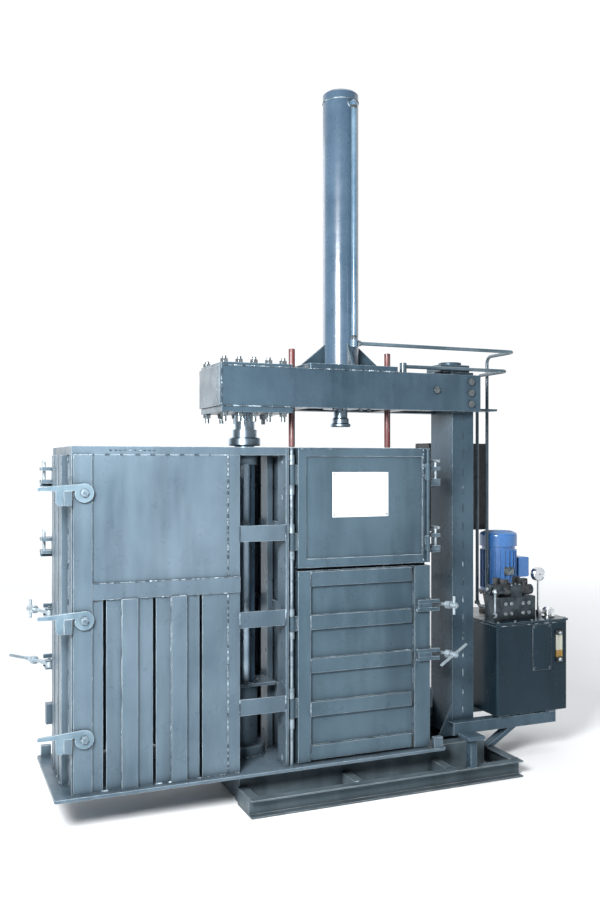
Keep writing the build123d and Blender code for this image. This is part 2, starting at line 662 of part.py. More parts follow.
# Breather cap and pressure gauge on the tank lid
BREATHER = (TANK_X1 - 55, -60)
BREATHER_RADIUS = 25
with BuildPart() as breather:
    with BuildSketch(Plane.XZ):
        with BuildLine():
            Polyline(
                (0, TANK_Z1),
                (BREATHER_RADIUS + 6, TANK_Z1),
                (BREATHER_RADIUS + 6, TANK_Z1 + 6),
                (BREATHER_RADIUS - 7, TANK_Z1 + 6),
                (BREATHER_RADIUS - 7, TANK_Z1 + 18),
                (BREATHER_RADIUS, TANK_Z1 + 18),
                (BREATHER_RADIUS, TANK_Z1 + 38),
                (BREATHER_RADIUS - 8, TANK_Z1 + 46),
                (0, TANK_Z1 + 46),
                close=True,
            )
        make_face()
    revolve(axis=Axis.Z)
breather_part = breather.part.translate((*BREATHER, 0))
breather_part.label = "breather"
export_step(breather_part, "parts/breather.step")

DIAL_RADIUS = 33
DIAL_CENTRE = (TANK_X1 - 66, 0, TANK_Z1 + 192)
DIAL_DEPTH = 28
BEZEL = 6
DIAL_SINK = 4
STEM_RADIUS = 6
STEM_NUT = (13, 24)
with BuildPart() as pressure_gauge:
    with Locations(Location(DIAL_CENTRE, (90, 0, 0))):
        Cylinder(DIAL_RADIUS, DIAL_DEPTH)
    front_rim = pressure_gauge.edges().filter_by(GeomType.CIRCLE).sort_by(Axis.Y)[0]
    chamfer(front_rim, 3)
    with Locations((DIAL_CENTRE[0], DIAL_CENTRE[1] - DIAL_DEPTH / 2, DIAL_CENTRE[2])):
        with Locations(Rotation(90, 0, 0)):
            Cylinder(DIAL_RADIUS - BEZEL, DIAL_SINK, mode=Mode.SUBTRACT)
    upright(DIAL_CENTRE[0], 0, TANK_Z1, DIAL_CENTRE[2] - DIAL_RADIUS + 2, STEM_RADIUS)
    with BuildSketch(Plane.XY.offset(TANK_Z1)):
        with Locations((DIAL_CENTRE[0], 0)):
            RegularPolygon(STEM_NUT[0], 6)
    extrude(amount=STEM_NUT[1])
pressure_gauge.part.label = "pressure_gauge"
export_step(pressure_gauge.part, "parts/pressure_gauge.step")

# Pump mount, motor, fan cover and terminal box
MOTOR_X = TANK_X1 - 173
MOTOR_Y = 170
MOTOR_RADIUS = 80
FIN_DEPTH = 8
FIN_COUNT = 24
FIN_WIDTH = 4
END_SHIELD = 16
FIN_TOP_GAP = 18
FAN_COVER_ROUND = 18
BELL_FLANGE_RADIUS = 92
BELL_FLANGE = 14
BELL_NECK_RADIUS = 62
BELL_SHOULDER_RADIUS = 76
BELL_HEIGHT = 103
MOTOR_LENGTH = 215
FAN_COVER_HEIGHT = 68
MOTOR_Z0 = TANK_Z1 + BELL_HEIGHT
MOTOR_Z1 = MOTOR_Z0 + MOTOR_LENGTH
with BuildPart() as pump_mount:
    upright(MOTOR_X, MOTOR_Y, TANK_Z1, TANK_Z1 + BELL_FLANGE, BELL_FLANGE_RADIUS)
    with BuildSketch(Plane.XY.offset(TANK_Z1 + BELL_FLANGE)):
        with Locations((MOTOR_X, MOTOR_Y)):
            Circle(BELL_NECK_RADIUS)
    with BuildSketch(Plane.XY.offset(MOTOR_Z0 - BELL_FLANGE)):
        with Locations((MOTOR_X, MOTOR_Y)):
            Circle(BELL_SHOULDER_RADIUS)
    loft()
    upright(MOTOR_X, MOTOR_Y, MOTOR_Z0 - BELL_FLANGE, MOTOR_Z0, BELL_FLANGE_RADIUS)
pump_mount.part.label = "pump_mount"
export_step(pump_mount.part, "parts/pump_mount.step")

with BuildPart() as electric_motor:
    upright(MOTOR_X, MOTOR_Y, MOTOR_Z0, MOTOR_Z0 + END_SHIELD, MOTOR_RADIUS + FIN_DEPTH)
    upright(MOTOR_X, MOTOR_Y, MOTOR_Z0 + END_SHIELD, MOTOR_Z1, MOTOR_RADIUS)
    with BuildSketch(Plane.XY.offset(MOTOR_Z0 + END_SHIELD)):
        with Locations((MOTOR_X, MOTOR_Y)):
            with PolarLocations(MOTOR_RADIUS + FIN_DEPTH / 2 - 1, FIN_COUNT):
                Rectangle(FIN_DEPTH + 2, FIN_WIDTH)
    extrude(amount=MOTOR_LENGTH - END_SHIELD - FIN_TOP_GAP)
electric_motor.part.label = "electric_motor"
export_step(electric_motor.part, "parts/electric_motor.step")

with BuildPart() as motor_fan_cover:
    upright(MOTOR_X, MOTOR_Y, MOTOR_Z1, MOTOR_Z1 + FAN_COVER_HEIGHT, MOTOR_RADIUS + FIN_DEPTH + 2)
    fillet(motor_fan_cover.edges().group_by(Axis.Z)[-1], FAN_COVER_ROUND)
motor_fan_cover.part.label = "motor_fan_cover"
export_step(motor_fan_cover.part, "parts/motor_fan_cover.step")

TERMINAL_BOX = (56, 90, 96)
TERMINAL_BOX_Z = MOTOR_Z0 + 110
with BuildPart() as terminal_box:
    with Locations((MOTOR_X + MOTOR_RADIUS + FIN_DEPTH + AIR, MOTOR_Y, TERMINAL_BOX_Z)):
        Box(*TERMINAL_BOX, align=(Align.MIN, Align.CENTER, Align.CENTER))
    fillet(terminal_box.edges().filter_by(Axis.Y), 8)
terminal_box.part.label = "terminal_box"
export_step(terminal_box.part, "parts/terminal_box.step")

# Valve block: manifold, two solenoid valves and the bracket of the hand lever
BLOCK_X0 = TANK_X0 + 66
BLOCK_X1 = BLOCK_X0 + 188
BLOCK_Y0 = -70
BLOCK_HEIGHT = 104
VALVE_ROWS = (-40, 22)
COIL_RADIUS = 23
LEVER_PIN = (TANK_X0 + 34, -75, TANK_Z1 + 25)
VALVE_X = BLOCK_X0 + 88
VALVE_BODY = (60, 48, 50)
COIL_LENGTH = 190
COIL_Z = TANK_Z1 + BLOCK_HEIGHT + COIL_RADIUS + 4
LEVER_PIN_RADIUS = 5
LEVER_THICKNESS = 10
LEVER_BOSS = 12
LEVER_BRACKET = 22
with BuildPart() as manifold:
    plate(BLOCK_X0, BLOCK_X1, BLOCK_Y0, BLOCK_BACK_Y, TANK_Z1, TANK_Z1 + BLOCK_HEIGHT)
    chamfer(manifold.edges().group_by(Axis.Z)[-1], 3)
    for y in VALVE_ROWS:
        with Locations((VALVE_X, y, TANK_Z1 + BLOCK_HEIGHT)):
            Box(*VALVE_BODY, align=(Align.CENTER, Align.CENTER, Align.MIN))
        with Locations(Location((VALVE_X, y, COIL_Z), (0, 90, 0))):
            Cylinder(COIL_RADIUS, COIL_LENGTH)
with BuildPart() as lever_bracket:
    pin_x, pin_y, pin_z = LEVER_PIN
    plate(pin_x + AIR, pin_x + LEVER_BRACKET, pin_y - LEVER_BOSS, pin_y + LEVER_BOSS, TANK_Z1,
          pin_z + LEVER_BOSS)
    with Locations(Location((pin_x + AIR, pin_y, pin_z), (0, 90, 0))):
        Cylinder(LEVER_PIN_RADIUS, LEVER_THICKNESS + 8,
                 align=(Align.CENTER, Align.CENTER, Align.MAX))
valve_block = weldment(manifold.part, lever_bracket.part)
valve_block.label = "valve_block"
export_step(valve_block, "parts/valve_block.step")

LEVER_LENGTH = 108
LEVER_BALL = 12
LEVER_ROD = 4.5
with BuildPart() as valve_lever:
    with Locations(Location((pin_x, pin_y, pin_z), (0, 90, 0))):
        Cylinder(LEVER_BOSS, LEVER_THICKNESS, align=(Align.CENTER, Align.CENTER, Align.MAX))
    upright(pin_x - LEVER_THICKNESS / 2, pin_y, pin_z + LEVER_BOSS / 2, pin_z + LEVER_LENGTH,
            LEVER_ROD)
    with Locations((pin_x - LEVER_THICKNESS / 2, pin_y, pin_z + LEVER_LENGTH)):
        Sphere(LEVER_BALL)
    with Locations(Location((pin_x, pin_y, pin_z), (0, 90, 0))):
        Cylinder(LEVER_PIN_RADIUS + SLIDE, 3 * LEVER_THICKNESS, mode=Mode.SUBTRACT)
valve_lever.part.label = "valve_lever"
export_step(valve_lever.part, "parts/valve_lever.step")

# Electrical control panel on two arms behind the press column
PANEL = (PRESS_X0 + 52, PRESS_X0 + 382, 220, 340, 1010, 1430)
ARM_WIDTH = 40
ARM_WALL = 12
ARM_X = PRESS_X0 + 60
PANEL_CORNER = 6
PANEL_WALL = 2
with BuildPart() as panel_box:
    plate(*PANEL)
    fillet(panel_box.edges().filter_by(Axis.Z), PANEL_CORNER)
    panel_x0, panel_x1, panel_y0, panel_y1, panel_z0, panel_z1 = PANEL
    with Locations(((panel_x0 + panel_x1) / 2, panel_y1, (panel_z0 + panel_z1) / 2)):
        Box(panel_x1 - panel_x0 - 2 * PANEL_WALL, 2 * (panel_y1 - panel_y0 - PANEL_WALL),
            panel_z1 - panel_z0 - 2 * PANEL_WALL, mode=Mode.SUBTRACT)
with BuildPart() as panel_door:
    plate(panel_x0, panel_x1, panel_y1, panel_y1 + PANEL_WALL, panel_z0, panel_z1)
with BuildPart() as panel_arms:
    for z in (panel_z0 + 50, panel_z1 - 80):
        plate(ARM_X, ARM_X + ARM_WIDTH, PRESS_Y1, panel_y0, z, z + ARM_WALL)
control_panel = weldment(panel_box.part, panel_door.part, panel_arms.part)
control_panel.label = "control_panel"
export_step(control_panel, "parts/control_panel.step")

# Turntable floor plate with the column hole, and a catch block under one corner of each box
CATCH_IN_X = 60
CATCH_IN_Y = 45
CATCH_SIDE = 44
FLOOR_CORNER = 10
CATCH_DROP = THRUST_RING_HEIGHT + AIR - 1.5
with BuildPart() as turntable_plate:
    plate(-FLOOR_HALF_X, FLOOR_HALF_X, -FLOOR_HALF_Y, FLOOR_HALF_Y, FLOOR_Z, BOX_Z0)
    fillet(turntable_plate.edges().filter_by(Axis.Z), FLOOR_CORNER)
    upright(0, 0, FLOOR_Z, BOX_Z0, COLUMN_RADIUS + SLIDE, Mode.SUBTRACT)
    for turn in (0, 180):
        spot = Vector(-FLOOR_HALF_X + CATCH_IN_X, -FLOOR_HALF_Y + CATCH_IN_Y, 0)
        with Locations(spot.rotate(Axis.Z, turn) + Vector(0, 0, FLOOR_Z)):
            Box(CATCH_SIDE, CATCH_SIDE, CATCH_DROP, align=(Align.CENTER, Align.CENTER, Align.MAX))
turntable_plate.part.label = "turntable_plate"
export_step(turntable_plate.part, "parts/turntable_plate.step")

# Pivot sleeve: lower hub on a flange, upper bush, and the plates that join both boxes
HUB_RADIUS = 53
HUB_FLANGE_RADIUS = 84
HUB_FLANGE_HEIGHT = 42
HUB_TOP = 440
HUB_GUSSET = 12
BUSH_Z0 = RIM_Z - 36
STIFFENER_X = 107
STIFFENER_Y = 70
RIM_TIE_Y = 80
BUSH_TOP = COLLAR_Z - 6
with BuildPart() as hub:
    upright(0, 0, BOX_Z0, BOX_Z0 + HUB_FLANGE_HEIGHT, HUB_FLANGE_RADIUS)
    chamfer(hub.edges().group_by(Axis.Z)[-1], 5)
    upright(0, 0, BOX_Z0 + HUB_FLANGE_HEIGHT, HUB_TOP, HUB_RADIUS)
    plate(-STIFFENER_X, STIFFENER_X, -STIFFENER_Y, STIFFENER_Y, HUB_TOP - HUB_GUSSET, HUB_TOP)
    upright(0, 0, BOX_Z0, HUB_TOP, COLUMN_RADIUS + SLIDE, Mode.SUBTRACT)
with BuildPart() as upper_bush:
    upright(0, 0, BUSH_Z0, BUSH_TOP, HUB_RADIUS)
    plate(-BOX_INNER_X, BOX_INNER_X, -RIM_TIE_Y, RIM_TIE_Y, RIM_Z, RIM_Z + RIM_WALL)
    upright(0, 0, BUSH_Z0, BUSH_TOP, COLUMN_RADIUS + SLIDE, Mode.SUBTRACT)
pivot_sleeve = weldment(hub.part, upper_bush.part)
pivot_sleeve.label = "pivot_sleeve"
export_step(pivot_sleeve, "parts/pivot_sleeve.step")

# Frames of both boxes: angle posts, rim bars, wall rails, hinge plates and tie straps
POST_CORNERS = (
    (BOX_INNER_X, FRONT_Y, 0),
    (BOX_OUTER_X, FRONT_Y, 90),
    (BOX_OUTER_X, SLAT_FACE_Y, 180),
    (BOX_INNER_X, SLAT_FACE_Y, 270),
)
HINGE_PLATE_X = BOX_INNER_X - HINGE_PLATE
with BuildPart() as posts:
    for x, y, turn in POST_CORNERS:
        with BuildSketch(Plane.XY.offset(BOX_Z0)):
            with Locations(Location((x, y), turn)):
                Polygon(
                    (0, 0),
                    (POST_LEG, 0),
                    (POST_LEG, POST_WALL),
                    (POST_WALL, POST_WALL),
                    (POST_WALL, POST_LEG),
                    (0, POST_LEG),
                    align=None,
                )
        extrude(amount=RIM_Z - BOX_Z0)

with BuildPart() as long_rims:
    plate(BOX_INNER_X, BOX_OUTER_X, FRONT_Y, FRONT_Y + RIM_WALL, RIM_Z, BOX_Z1)
    plate(-HINGE_PLATE_X, BOX_OUTER_X, SLAT_FACE_Y - RIM_WALL, SLAT_FACE_Y, RIM_Z, BOX_Z1)
with BuildPart() as short_rims:
    for x in (BOX_INNER_X, BOX_OUTER_X - RIM_WALL):
        plate(x, x + RIM_WALL, FRONT_Y + RIM_WALL, SLAT_FACE_Y - RIM_WALL, RIM_Z, BOX_Z1)
with BuildPart() as hinge_plates:
    plate(HINGE_PLATE_X, BOX_INNER_X, DOOR_FACE_Y, FRONT_Y + POST_LEG, BOX_Z0, BOX_Z1)
with BuildPart() as tie_straps:
    for z in STRAP_Z:
        plate(-BOX_INNER_X, HINGE_PLATE_X, DOOR_FACE_Y, DOOR_FACE_Y + STRAP_WALL, z,
              z + STRAP_HEIGHT)
WALL_X = BOX_INNER_X + POST_LEG - WALL
RAIL_DEPTH = 12
WALL_Y0 = FRONT_Y + POST_WALL
WALL_Y1 = SLAT_FACE_Y - POST_WALL
with BuildPart() as wall_rails:
    for z in STRAP_Z:
        plate(WALL_X - RAIL_DEPTH, WALL_X, WALL_Y0, WALL_Y1, z, z + STRAP_HEIGHT)
bars = (posts, long_rims, short_rims, hinge_plates, tie_straps, wall_rails)
twin_bars = [bar.part.rotate(Axis.Z, 180) for bar in bars]
box_frames = weldment(*(bar.part for bar in bars), *twin_bars)
box_frames.label = "box_frames"
export_step(box_frames, "parts/box_frames.step")

# Inner walls: upright slats and one channel stiffener beside the pivot
WALL_SLATS = 5
INNER_SLAT = (WALL_Y1 - WALL_Y0 - (WALL_SLATS - 1) * SLOT) / WALL_SLATS
STIFFENER_Y = 20
STIFFENER_WIDTH = 75
with BuildPart() as inner_slats:
    for index in range(WALL_SLATS):
        y0 = WALL_Y0 + index * (INNER_SLAT + SLOT)
        plate(WALL_X, WALL_X + WALL, y0, y0 + INNER_SLAT, BOX_Z0, RIM_Z)
with BuildPart() as stiffener:
    with BuildSketch(Plane.XY.offset(BOX_Z0)):
        channel_outline(STIFFENER_X, STIFFENER_Y, STIFFENER_WIDTH,
                        WALL_X - RAIL_DEPTH - STIFFENER_X, WALL)
    extrude(amount=RIM_Z - BOX_Z0)
wall_parts = [inner_slats.part, stiffener.part]
inner_walls = weldment(*wall_parts, *(part.rotate(Axis.Z, 180) for part in wall_parts))
inner_walls.label = "inner_walls"
export_step(inner_walls, "parts/inner_walls.step")

# End walls: slats behind upright channel ribs
END_X = BOX_OUTER_X - POST_WALL
END_SLAT = (WALL_Y1 - WALL_Y0 - (WALL_SLATS - 1) * SLOT) / WALL_SLATS
END_RIB_WIDTH = 64
END_RIB_DEPTH = 26
END_RIBS_Y = (-105, -8, 90)
with BuildPart() as end_slats:
    for index in range(WALL_SLATS):
        y0 = WALL_Y0 + index * (END_SLAT + SLOT)
        plate(END_X - WALL, END_X, y0, y0 + END_SLAT, BOX_Z0, RIM_Z)
with BuildPart() as end_ribs:
    with BuildSketch(Plane.XY.offset(BOX_Z0)):
        for y in END_RIBS_Y:
            channel_outline(END_X + END_RIB_DEPTH, y + END_RIB_WIDTH / 2, END_RIB_WIDTH,
                            END_RIB_DEPTH, WALL, 180)
    extrude(amount=RIM_Z - BOX_Z0)
end_parts = [end_slats.part, end_ribs.part]
end_walls = weldment(*end_parts, *(part.rotate(Axis.Z, 180) for part in end_parts))
end_walls.label = "end_walls"
export_step(end_walls, "parts/end_walls.step")

# Slatted panels: stile, upper plate, mid rail, slats with open slots, raised channel ribs
PANEL_X0 = BOX_INNER_X + POST_LEG
PANEL_X1 = BOX_OUTER_X - POST_LEG
STILE_X1 = BOX_OUTER_X - POST_WALL
STILE_FACE_Y = SLAT_FACE_Y + STILE_WALL
STILE_X0 = STILE_X1 - STILE_WIDTH
with BuildPart() as stile:
    plate(STILE_X0, STILE_X1, SLAT_FACE_Y, STILE_FACE_Y, BOX_Z0, RIM_Z)
with BuildPart() as upper_plate:
    plate(PANEL_X0, PANEL_X1, SLAT_FACE_Y - WALL, SLAT_FACE_Y, MID_RAIL_MID_Z, RIM_Z)
with BuildPart() as slats:
    slot_edges = [PANEL_X0]
    for x in PANEL_SLOTS_X:
        slot_edges += [x - SLOT / 2, x + SLOT / 2]
    slot_edges.append(PANEL_X1)
    for x0, x1 in zip(slot_edges[::2], slot_edges[1::2]):
        plate(x0, x1, SLAT_FACE_Y - WALL, SLAT_FACE_Y, BOX_Z0, MID_RAIL_MID_Z)
with BuildPart() as mid_rail:
    plate(BOX_INNER_X, STILE_X0, SLAT_FACE_Y, SLAT_FACE_Y + WALL, MID_RAIL_Z,
          MID_RAIL_Z + MID_RAIL_HEIGHT)
with BuildPart() as raised_ribs:
    with BuildSketch(Plane.XY.offset(BOX_Z0)):
        for x in RAISED_RIBS_X:
            channel_outline(x - RAISED_RIB_WIDTH / 2, SLAT_FACE_Y + RAISED_RIB_DEPTH,
                            RAISED_RIB_WIDTH, RAISED_RIB_DEPTH, 4, 270)
    extrude(amount=MID_RAIL_Z - BOX_Z0)
panel_parts = [stile.part, upper_plate.part, slats.part, mid_rail.part, raised_ribs.part]
slatted_panels = weldment(*panel_parts, *(part.rotate(Axis.Z, 180) for part in panel_parts))
slatted_panels.label = "slatted_panels"
export_step(slatted_panels, "parts/slatted_panels.step")

# Hinge lines: a full-height rod in frame knuckles beside each door edge
KNUCKLE_SHARE = 0.25
with BuildPart() as hinge_line:
    upright(HINGE_X, HINGE_Y, BOX_Z0, BOX_Z1, HINGE_ROD_RADIUS)
    for z0, z1 in (*UPPER_KNUCKLES, *LOWER_KNUCKLES):
        ring = (z1 - z0) * KNUCKLE_SHARE
        for low in (z0, z1 - ring):
            upright(HINGE_X, HINGE_Y, low, low + ring, KNUCKLE_RADIUS)
            plate(BOX_INNER_X, HINGE_X, HINGE_Y - 4, HINGE_Y + 4, low, low + ring)
with BuildPart() as hinge_bars:
    both_boxes(hinge_line.part)
hinge_bars.part.label = "hinge_bars"
export_step(hinge_bars.part, "parts/hinge_bars.step")

# Platen lying loose on the floor of the box under the press
PLATEN_GAP = 14
PLATEN_THICKNESS = 16
PLATEN_RIB = 34
RIB_OFFSET = 120
RIB_WALL = 12
RIB_END = 40
SOCKET_GAP = 4
SOCKET_WALL = 15
PLATEN_TOP = BOX_Z0 + PLATEN_THICKNESS
with BuildPart() as platen:
    plate(WALL_X + WALL + PLATEN_GAP, END_X - WALL - PLATEN_GAP, WALL_Y0 + PLATEN_GAP,
          WALL_Y1 - PLATEN_GAP, BOX_Z0, PLATEN_TOP)
    for x in (RAM_X - RIB_OFFSET, RAM_X + RIB_OFFSET):
        plate(x - RIB_WALL / 2, x + RIB_WALL / 2, WALL_Y0 + RIB_END, WALL_Y1 - RIB_END,
              PLATEN_TOP, PLATEN_TOP + PLATEN_RIB)
    socket = ROD_END_RADIUS + SOCKET_GAP
    upright(RAM_X, 0, PLATEN_TOP, PLATEN_TOP + PLATEN_RIB, socket + SOCKET_WALL)
    upright(RAM_X, 0, PLATEN_TOP, PLATEN_TOP + PLATEN_RIB, socket, Mode.SUBTRACT)
platen.part.label = "platen"
export_step(platen.part, "parts/platen.step")

# Doors: an upper tray door and a lower barred door on each box
CLAMP_X = BOX_OUTER_X + 27
CLAMP_Y = -165
CLAMP_Z = up_box(0.476, 0.312)
CLAMP_LUG = (100, 16, 48)
CLAMP_SLOT = 18
CLAMP_LUG_X1 = CLAMP_X + 13
FORK_HALF = 15
FORK_GAP = 7
PIN_CLEAR = 2
PIN_X = BOX_OUTER_X + 40
PIN_Y = -221
PIN_Z = up_box(0.6624, 0.8864)
PIN_RADIUS = 6
LUG_WALL = 12
DOOR_BACK_Y = DOOR_FACE_Y + DOOR_DEPTH
PLANE_DOOR = Plane.XZ.offset(-DOOR_FACE_Y)
DOOR_WIDTH = DOOR_X1 - DOOR_X0
DOOR_MID_X = (DOOR_X0 + DOOR_X1) / 2
TRAY_RECESS = 6
SKIN_RECESS = 14
DOOR_BAR_MARGIN = 5
EDGE_BAR_X = DOOR_X1 - 16
EDGE_BAR_RADIUS = 6
EDGE_SLEEVE_RADIUS = 10
EDGE_SLEEVES = (up_box(0.66, 0.708), up_box(0.8944, 0.948))


def door_knuckles(spans):
    """Add the door's own knuckles, which turn on the hinge rod between the frame's."""
    for z0, z1 in spans:
        ring = (z1 - z0) * KNUCKLE_SHARE + AIR
        upright(HINGE_X, HINGE_Y, z0 + ring, z1 - ring, KNUCKLE_RADIUS)
        plate(HINGE_X, DOOR_X0, HINGE_Y - 4, HINGE_Y + 4, z0 + ring, z1 - ring)
        upright(HINGE_X, HINGE_Y, z0, z1, HINGE_ROD_RADIUS + SLIDE, Mode.SUBTRACT)


with BuildPart() as upper_door:
    door_height = BOX_Z1 - UPPER_DOOR_Z0
    plate(DOOR_X0, DOOR_X1, DOOR_FACE_Y, DOOR_BACK_Y, UPPER_DOOR_Z0, BOX_Z1)
    with BuildSketch(PLANE_DOOR):
        with Locations((DOOR_MID_X, (UPPER_DOOR_Z0 + BOX_Z1) / 2)):
            Rectangle(DOOR_WIDTH - 2 * DOOR_FRAME, door_height - 2 * DOOR_FRAME)
    extrude(amount=-TRAY_RECESS, mode=Mode.SUBTRACT)
    with BuildSketch(Plane.XZ.offset(-DOOR_BACK_Y)):
        with Locations((DOOR_MID_X, (UPPER_DOOR_Z0 + BOX_Z1) / 2)):
            Rectangle(DOOR_WIDTH - 2 * DOOR_SKIN, door_height - 2 * DOOR_SKIN)
    extrude(amount=DOOR_DEPTH - TRAY_RECESS - DOOR_SKIN, mode=Mode.SUBTRACT)
    door_knuckles(UPPER_KNUCKLES)

with BuildPart() as lower_door:
    plate(DOOR_X0, DOOR_X0 + LEFT_STILE, DOOR_FACE_Y, DOOR_BACK_Y, LOWER_DOOR_Z0, LOWER_DOOR_Z1)
    plate(DOOR_X1 - RIGHT_STILE, DOOR_X1, DOOR_FACE_Y, DOOR_BACK_Y, LOWER_DOOR_Z0, LOWER_DOOR_Z1)
    skin_y = DOOR_FACE_Y + SKIN_RECESS
    plate(DOOR_X0 + LEFT_STILE, DOOR_X1 - RIGHT_STILE, skin_y, skin_y + DOOR_SKIN, LOWER_DOOR_Z0,
          LOWER_DOOR_Z1)
    bar_span = LOWER_DOOR_Z1 - LOWER_DOOR_Z0 - DOOR_BAR_HEIGHT - 2 * DOOR_BAR_MARGIN
    bar_pitch = bar_span / (DOOR_BARS - 1)
    for index in range(DOOR_BARS):
        z0 = LOWER_DOOR_Z0 + DOOR_BAR_MARGIN + index * bar_pitch
        plate(DOOR_X0 + LEFT_STILE, DOOR_X1 - RIGHT_STILE - DOOR_BAR_GAP, DOOR_FACE_Y, skin_y, z0,
              z0 + DOOR_BAR_HEIGHT)
    door_knuckles(LOWER_KNUCKLES)

# Round bar in two sleeves down the free edge of the upper door
with BuildPart() as edge_bar:
    bar_y = DOOR_FACE_Y - EDGE_SLEEVE_RADIUS
    upright(EDGE_BAR_X, bar_y, UPPER_DOOR_Z0 + DOOR_SKIN, BOX_Z1 - DOOR_SKIN, EDGE_BAR_RADIUS)
    for z0, z1 in EDGE_SLEEVES:
        upright(EDGE_BAR_X, bar_y, z0, z1, EDGE_SLEEVE_RADIUS)

# Forked lugs, each prong a solid: the drop pins stand between the upper pair, the clamp
# rods lie between the lower ones
upper_lugs = [edge_bar.part]
for z in PIN_Z:
    for y0, y1 in ((-FORK_HALF, -FORK_GAP), (FORK_GAP, FORK_HALF)):
        with BuildPart() as prong:
            plate(DOOR_X1, PIN_X + FORK_HALF, PIN_Y + y0, PIN_Y + y1, z - PIN_CLEAR - LUG_WALL,
                  z - PIN_CLEAR)
        upper_lugs.append(prong.part)
lower_lugs = []
for z in CLAMP_Z:
    for z0, z1 in (
        (z - CLAMP_LUG[2] / 2, z - CLAMP_SLOT / 2),
        (z + CLAMP_SLOT / 2, z + CLAMP_LUG[2] / 2),
    ):
        with BuildPart() as prong:
            plate(CLAMP_LUG_X1 - CLAMP_LUG[0], CLAMP_LUG_X1, DOOR_FACE_Y - CLAMP_LUG[1],
                  DOOR_FACE_Y, z0, z1)
        lower_lugs.append(prong.part)
    with BuildPart() as web:
        plate(CLAMP_LUG_X1 - CLAMP_LUG[0], DOOR_X1, DOOR_FACE_Y - CLAMP_LUG[1], DOOR_FACE_Y,
              z - CLAMP_SLOT / 2, z + CLAMP_SLOT / 2)
    lower_lugs.append(web.part)

for side, turn in (("right", 0), ("left", 180)):
    for name, door, lugs in (
        ("upper", upper_door, upper_lugs),
        ("lower", lower_door, lower_lugs),
    ):
        turned = weldment(door.part, *lugs).rotate(Axis.Z, turn)
        turned.label = f"{name}_door_{side}"
        export_step(turned, f"parts/{name}_door_{side}.step")

# Swing clamps: an eye on an upright pin, a screwed rod, a nut and its handle
CLAMP_EYE = 13
ROD_SINK = 3
CLAMP_EYE_HALF = 10
CLAMP_PIN = 6
CLAMP_ROD = 7
CLAMP_REST = 24
NUT_START = 104
NUT_END = 126
NUT_RADIUS = 17
BOSS_START = 131
BOSS_END = 155
BOSS_RADIUS = 12
ROD_LENGTH = 161
TEE_HALF = 38
CAPSTAN_HALF = 96
CAPSTAN_TILT = 18
HANDLE_RADIUS = 6
for name, half, tilt in (("tee", TEE_HALF, 90), ("capstan", CAPSTAN_HALF, CAPSTAN_TILT)):
    with BuildPart() as swing_clamp:
        upright(0, 0, -CLAMP_EYE_HALF, CLAMP_EYE_HALF, CLAMP_EYE)
        with BuildSketch(Plane.XZ.offset(CLAMP_EYE - ROD_SINK)):
            Circle(CLAMP_ROD)
        extrude(amount=ROD_LENGTH - CLAMP_EYE + ROD_SINK)
        with BuildSketch(Plane.XZ.offset(NUT_START)):
            RegularPolygon(NUT_RADIUS, 6)
        extrude(amount=NUT_END - NUT_START)
        with BuildSketch(Plane.XZ.offset(BOSS_START)):
            Circle(BOSS_RADIUS)
        extrude(amount=BOSS_END - BOSS_START)
        with Locations(Location((0, -(BOSS_START + BOSS_END) / 2, 0), (0, 90 - tilt, 0))):
            Cylinder(HANDLE_RADIUS, 2 * half)
        upright(0, 0, -CLAMP_EYE_HALF, CLAMP_EYE_HALF, CLAMP_PIN + SLIDE, Mode.SUBTRACT)
    z = CLAMP_Z[0] if name == "tee" else CLAMP_Z[1]
    placed = swing_clamp.part.rotate(Axis.Z, CLAMP_REST).translate((CLAMP_X, CLAMP_Y, z))
    for side, turn in (("right", 0), ("left", 180)):
        turned = placed.rotate(Axis.Z, turn)
        turned.label = f"{name}_clamp_{side}"
        export_step(turned, f"parts/{name}_clamp_{side}.step")

# Drop pins with tee heads
LEAF_GAP = 50
LEAF_WALL = 14
PIN_LENGTH = 88
PIN_HEAD_HALF = 28
for index, z in enumerate(PIN_Z):
    with BuildPart() as drop_pin:
        upright(PIN_X, PIN_Y, z + 1, z + 1 + PIN_LENGTH, PIN_RADIUS)
        chamfer(drop_pin.edges().group_by(Axis.Z)[0], 2)
        with Locations(Location((PIN_X, PIN_Y, z + 1 + PIN_LENGTH), (90, 0, 0))):
            Cylinder(PIN_RADIUS, 2 * PIN_HEAD_HALF)
    level = ("low", "high")[index]
    for side, turn in (("right", 0), ("left", 180)):
        turned = drop_pin.part.rotate(Axis.Z, turn)
        turned.label = f"drop_pin_{level}_{side}"
        export_step(turned, f"parts/drop_pin_{level}_{side}.step")

